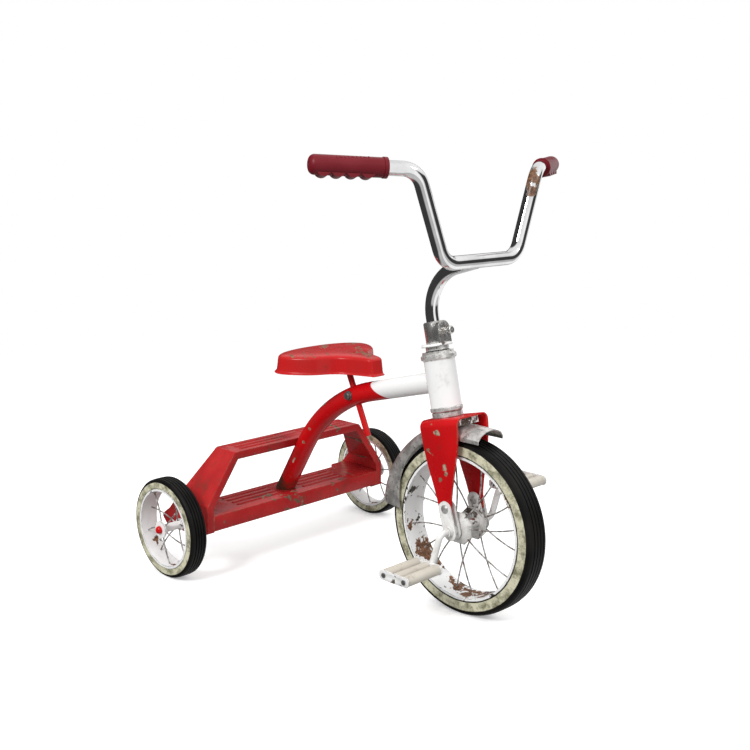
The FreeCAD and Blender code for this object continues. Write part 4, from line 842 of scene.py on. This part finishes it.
def makeFloor(look):
    bpy.ops.object.select_all(action="DESELECT")
    bpy.ops.mesh.primitive_circle_add(vertices=96, radius=look["radius"], fill_type="NGON",
                                      location=(0, 0, 0))
    floor = bpy.context.object
    floor.name = "StudioFloor"
    material, tree, shader = newMaterial("PaleFloor")
    shader.inputs["Base Color"].default_value = look["colour"] + (1.0,)
    shader.inputs["Roughness"].default_value = look["rough"]
    shader.inputs["Specular IOR Level"].default_value = look["shine"]
    shader.inputs["Emission Color"].default_value = (1.0, 1.0, 1.0, 1.0)
    shader.inputs["Emission Strength"].default_value = look["glow"]
    length = tree.nodes.new("ShaderNodeVectorMath")
    length.operation = "LENGTH"
    tree.links.new(place(tree), length.inputs[0])
    fade = step(tree, length.outputs["Value"], look["radius"] * look["fadeEnd"], look["fadeStart"])
    tree.links.new(fade, shader.inputs["Alpha"])
    floor.data.materials.append(material)
    floor.visible_diffuse = False
    floor.visible_glossy = False


# a large key light from the rider's right and a smaller one from the front
lampAim = Vector((0, 0, 0.3))
lamps = [{"name": "KeyLight", "place": Vector((-2.7, -0.5, 2.3)), "width": 0.8, "power": 62},
         {"name": "FrontLight", "place": Vector((0.9, -2.6, 2.2)), "width": 0.5, "power": 16}]


def makeLight(look):
    light = bpy.data.lights.new(look["name"], "AREA")
    light.shape = "RECTANGLE"
    light.size = look["width"]
    light.size_y = look["width"]
    light.energy = look["power"]
    lamp = bpy.data.objects.new(look["name"], light)
    bpy.context.scene.collection.objects.link(lamp)
    lamp.location = look["place"]
    lamp.rotation_euler = (lampAim - look["place"]).to_track_quat("-Z", "Y").to_euler()


# soft light for matt paint: its strength and where each part starts and ends
softSky = {"up": 1.05, "side": 0.66, "down": 0.26, "upper": (-0.1, 0.6), "lower": (0.05, -0.5)}
# what bright metal shows: a bright ceiling and ground, dark walls and one tall panel
mirrorRoom = {
    "ceiling": 1.0, "ceilingEdge": (0.28, 0.40), "ground": 0.6, "groundEdge": (-0.16, -0.30),
    "acrossX": 0.69, "acrossY": -0.72, "openSide": (-0.50, -0.18), "wall": 0.05,
    "panel": 1.1, "panelStart": (0.30, 0.42), "panelEnd": (0.90, 0.78),
}


def mirrorTone(tree, x, y, height):
    room = mirrorRoom
    across = sums(tree, "MULTIPLY", x, room["acrossX"])
    across = sums(tree, "MULTIPLY_ADD", y, room["acrossY"], across)
    panel = step(tree, across, *room["panelStart"])
    panel = sums(tree, "MULTIPLY", panel, step(tree, across, *room["panelEnd"]))
    tones = [sums(tree, "MULTIPLY", panel, room["panel"])]
    openSide = step(tree, across, *room["openSide"])
    for part in ("ceiling", "ground"):
        tone = sums(tree, "MULTIPLY", step(tree, height, *room[part + "Edge"]), room[part])
        tones.append(sums(tree, "MULTIPLY", tone, openSide))
    return eitherOf(tree, tones + [room["wall"]])


def makeSky(look):
    world = bpy.data.worlds.new("StudioSky")
    bpy.context.scene.world = world
    world.use_nodes = True
    tree = world.node_tree
    x, y, height = axesOf(tree, tree.nodes.new("ShaderNodeTexCoord").outputs["Generated"])
    rays = tree.nodes.new("ShaderNodeLightPath").outputs
    upper = step(tree, height, *look["upper"])
    lower = step(tree, height, *look["lower"])
    soft = sums(tree, "MULTIPLY_ADD", upper, look["up"] - look["side"], look["side"])
    soft = sums(tree, "MULTIPLY_ADD", lower, look["down"] - look["side"], soft)
    # metal sees the mirror room, and the camera sees plain white
    change = sums(tree, "SUBTRACT", mirrorTone(tree, x, y, height), soft)
    tone = sums(tree, "MULTIPLY_ADD", rays["Is Glossy Ray"], change, soft)
    tone = sums(tree, "MAXIMUM", tone, rays["Is Camera Ray"])
    combine = tree.nodes.new("ShaderNodeCombineColor")
    for channel in ("Red", "Green", "Blue"):
        tree.links.new(tone, combine.inputs[channel])
    tree.links.new(combine.outputs["Color"], tree.nodes["Background"].inputs["Color"])


view = {"place": (-1.1175, -1.1116, 0.6276), "turn": (78.92, 0.0, -45.10),
        "lens": 51.40, "film": 36.0}


def makeCamera(look):
    lens = bpy.data.cameras.new("StudioCamera")
    lens.lens = look["lens"]
    lens.sensor_width = look["film"]
    camera = bpy.data.objects.new("StudioCamera", lens)
    bpy.context.scene.collection.objects.link(camera)
    camera.location = look["place"]
    camera.rotation_euler = [math.radians(angle) for angle in look["turn"]]
    bpy.context.scene.camera = camera


makeFloor(floorLook)
makeSky(softSky)
for lamp in lamps:
    makeLight(lamp)
makeCamera(view)
bpy.context.scene.view_settings.view_transform = "Standard"
print("studio ready")
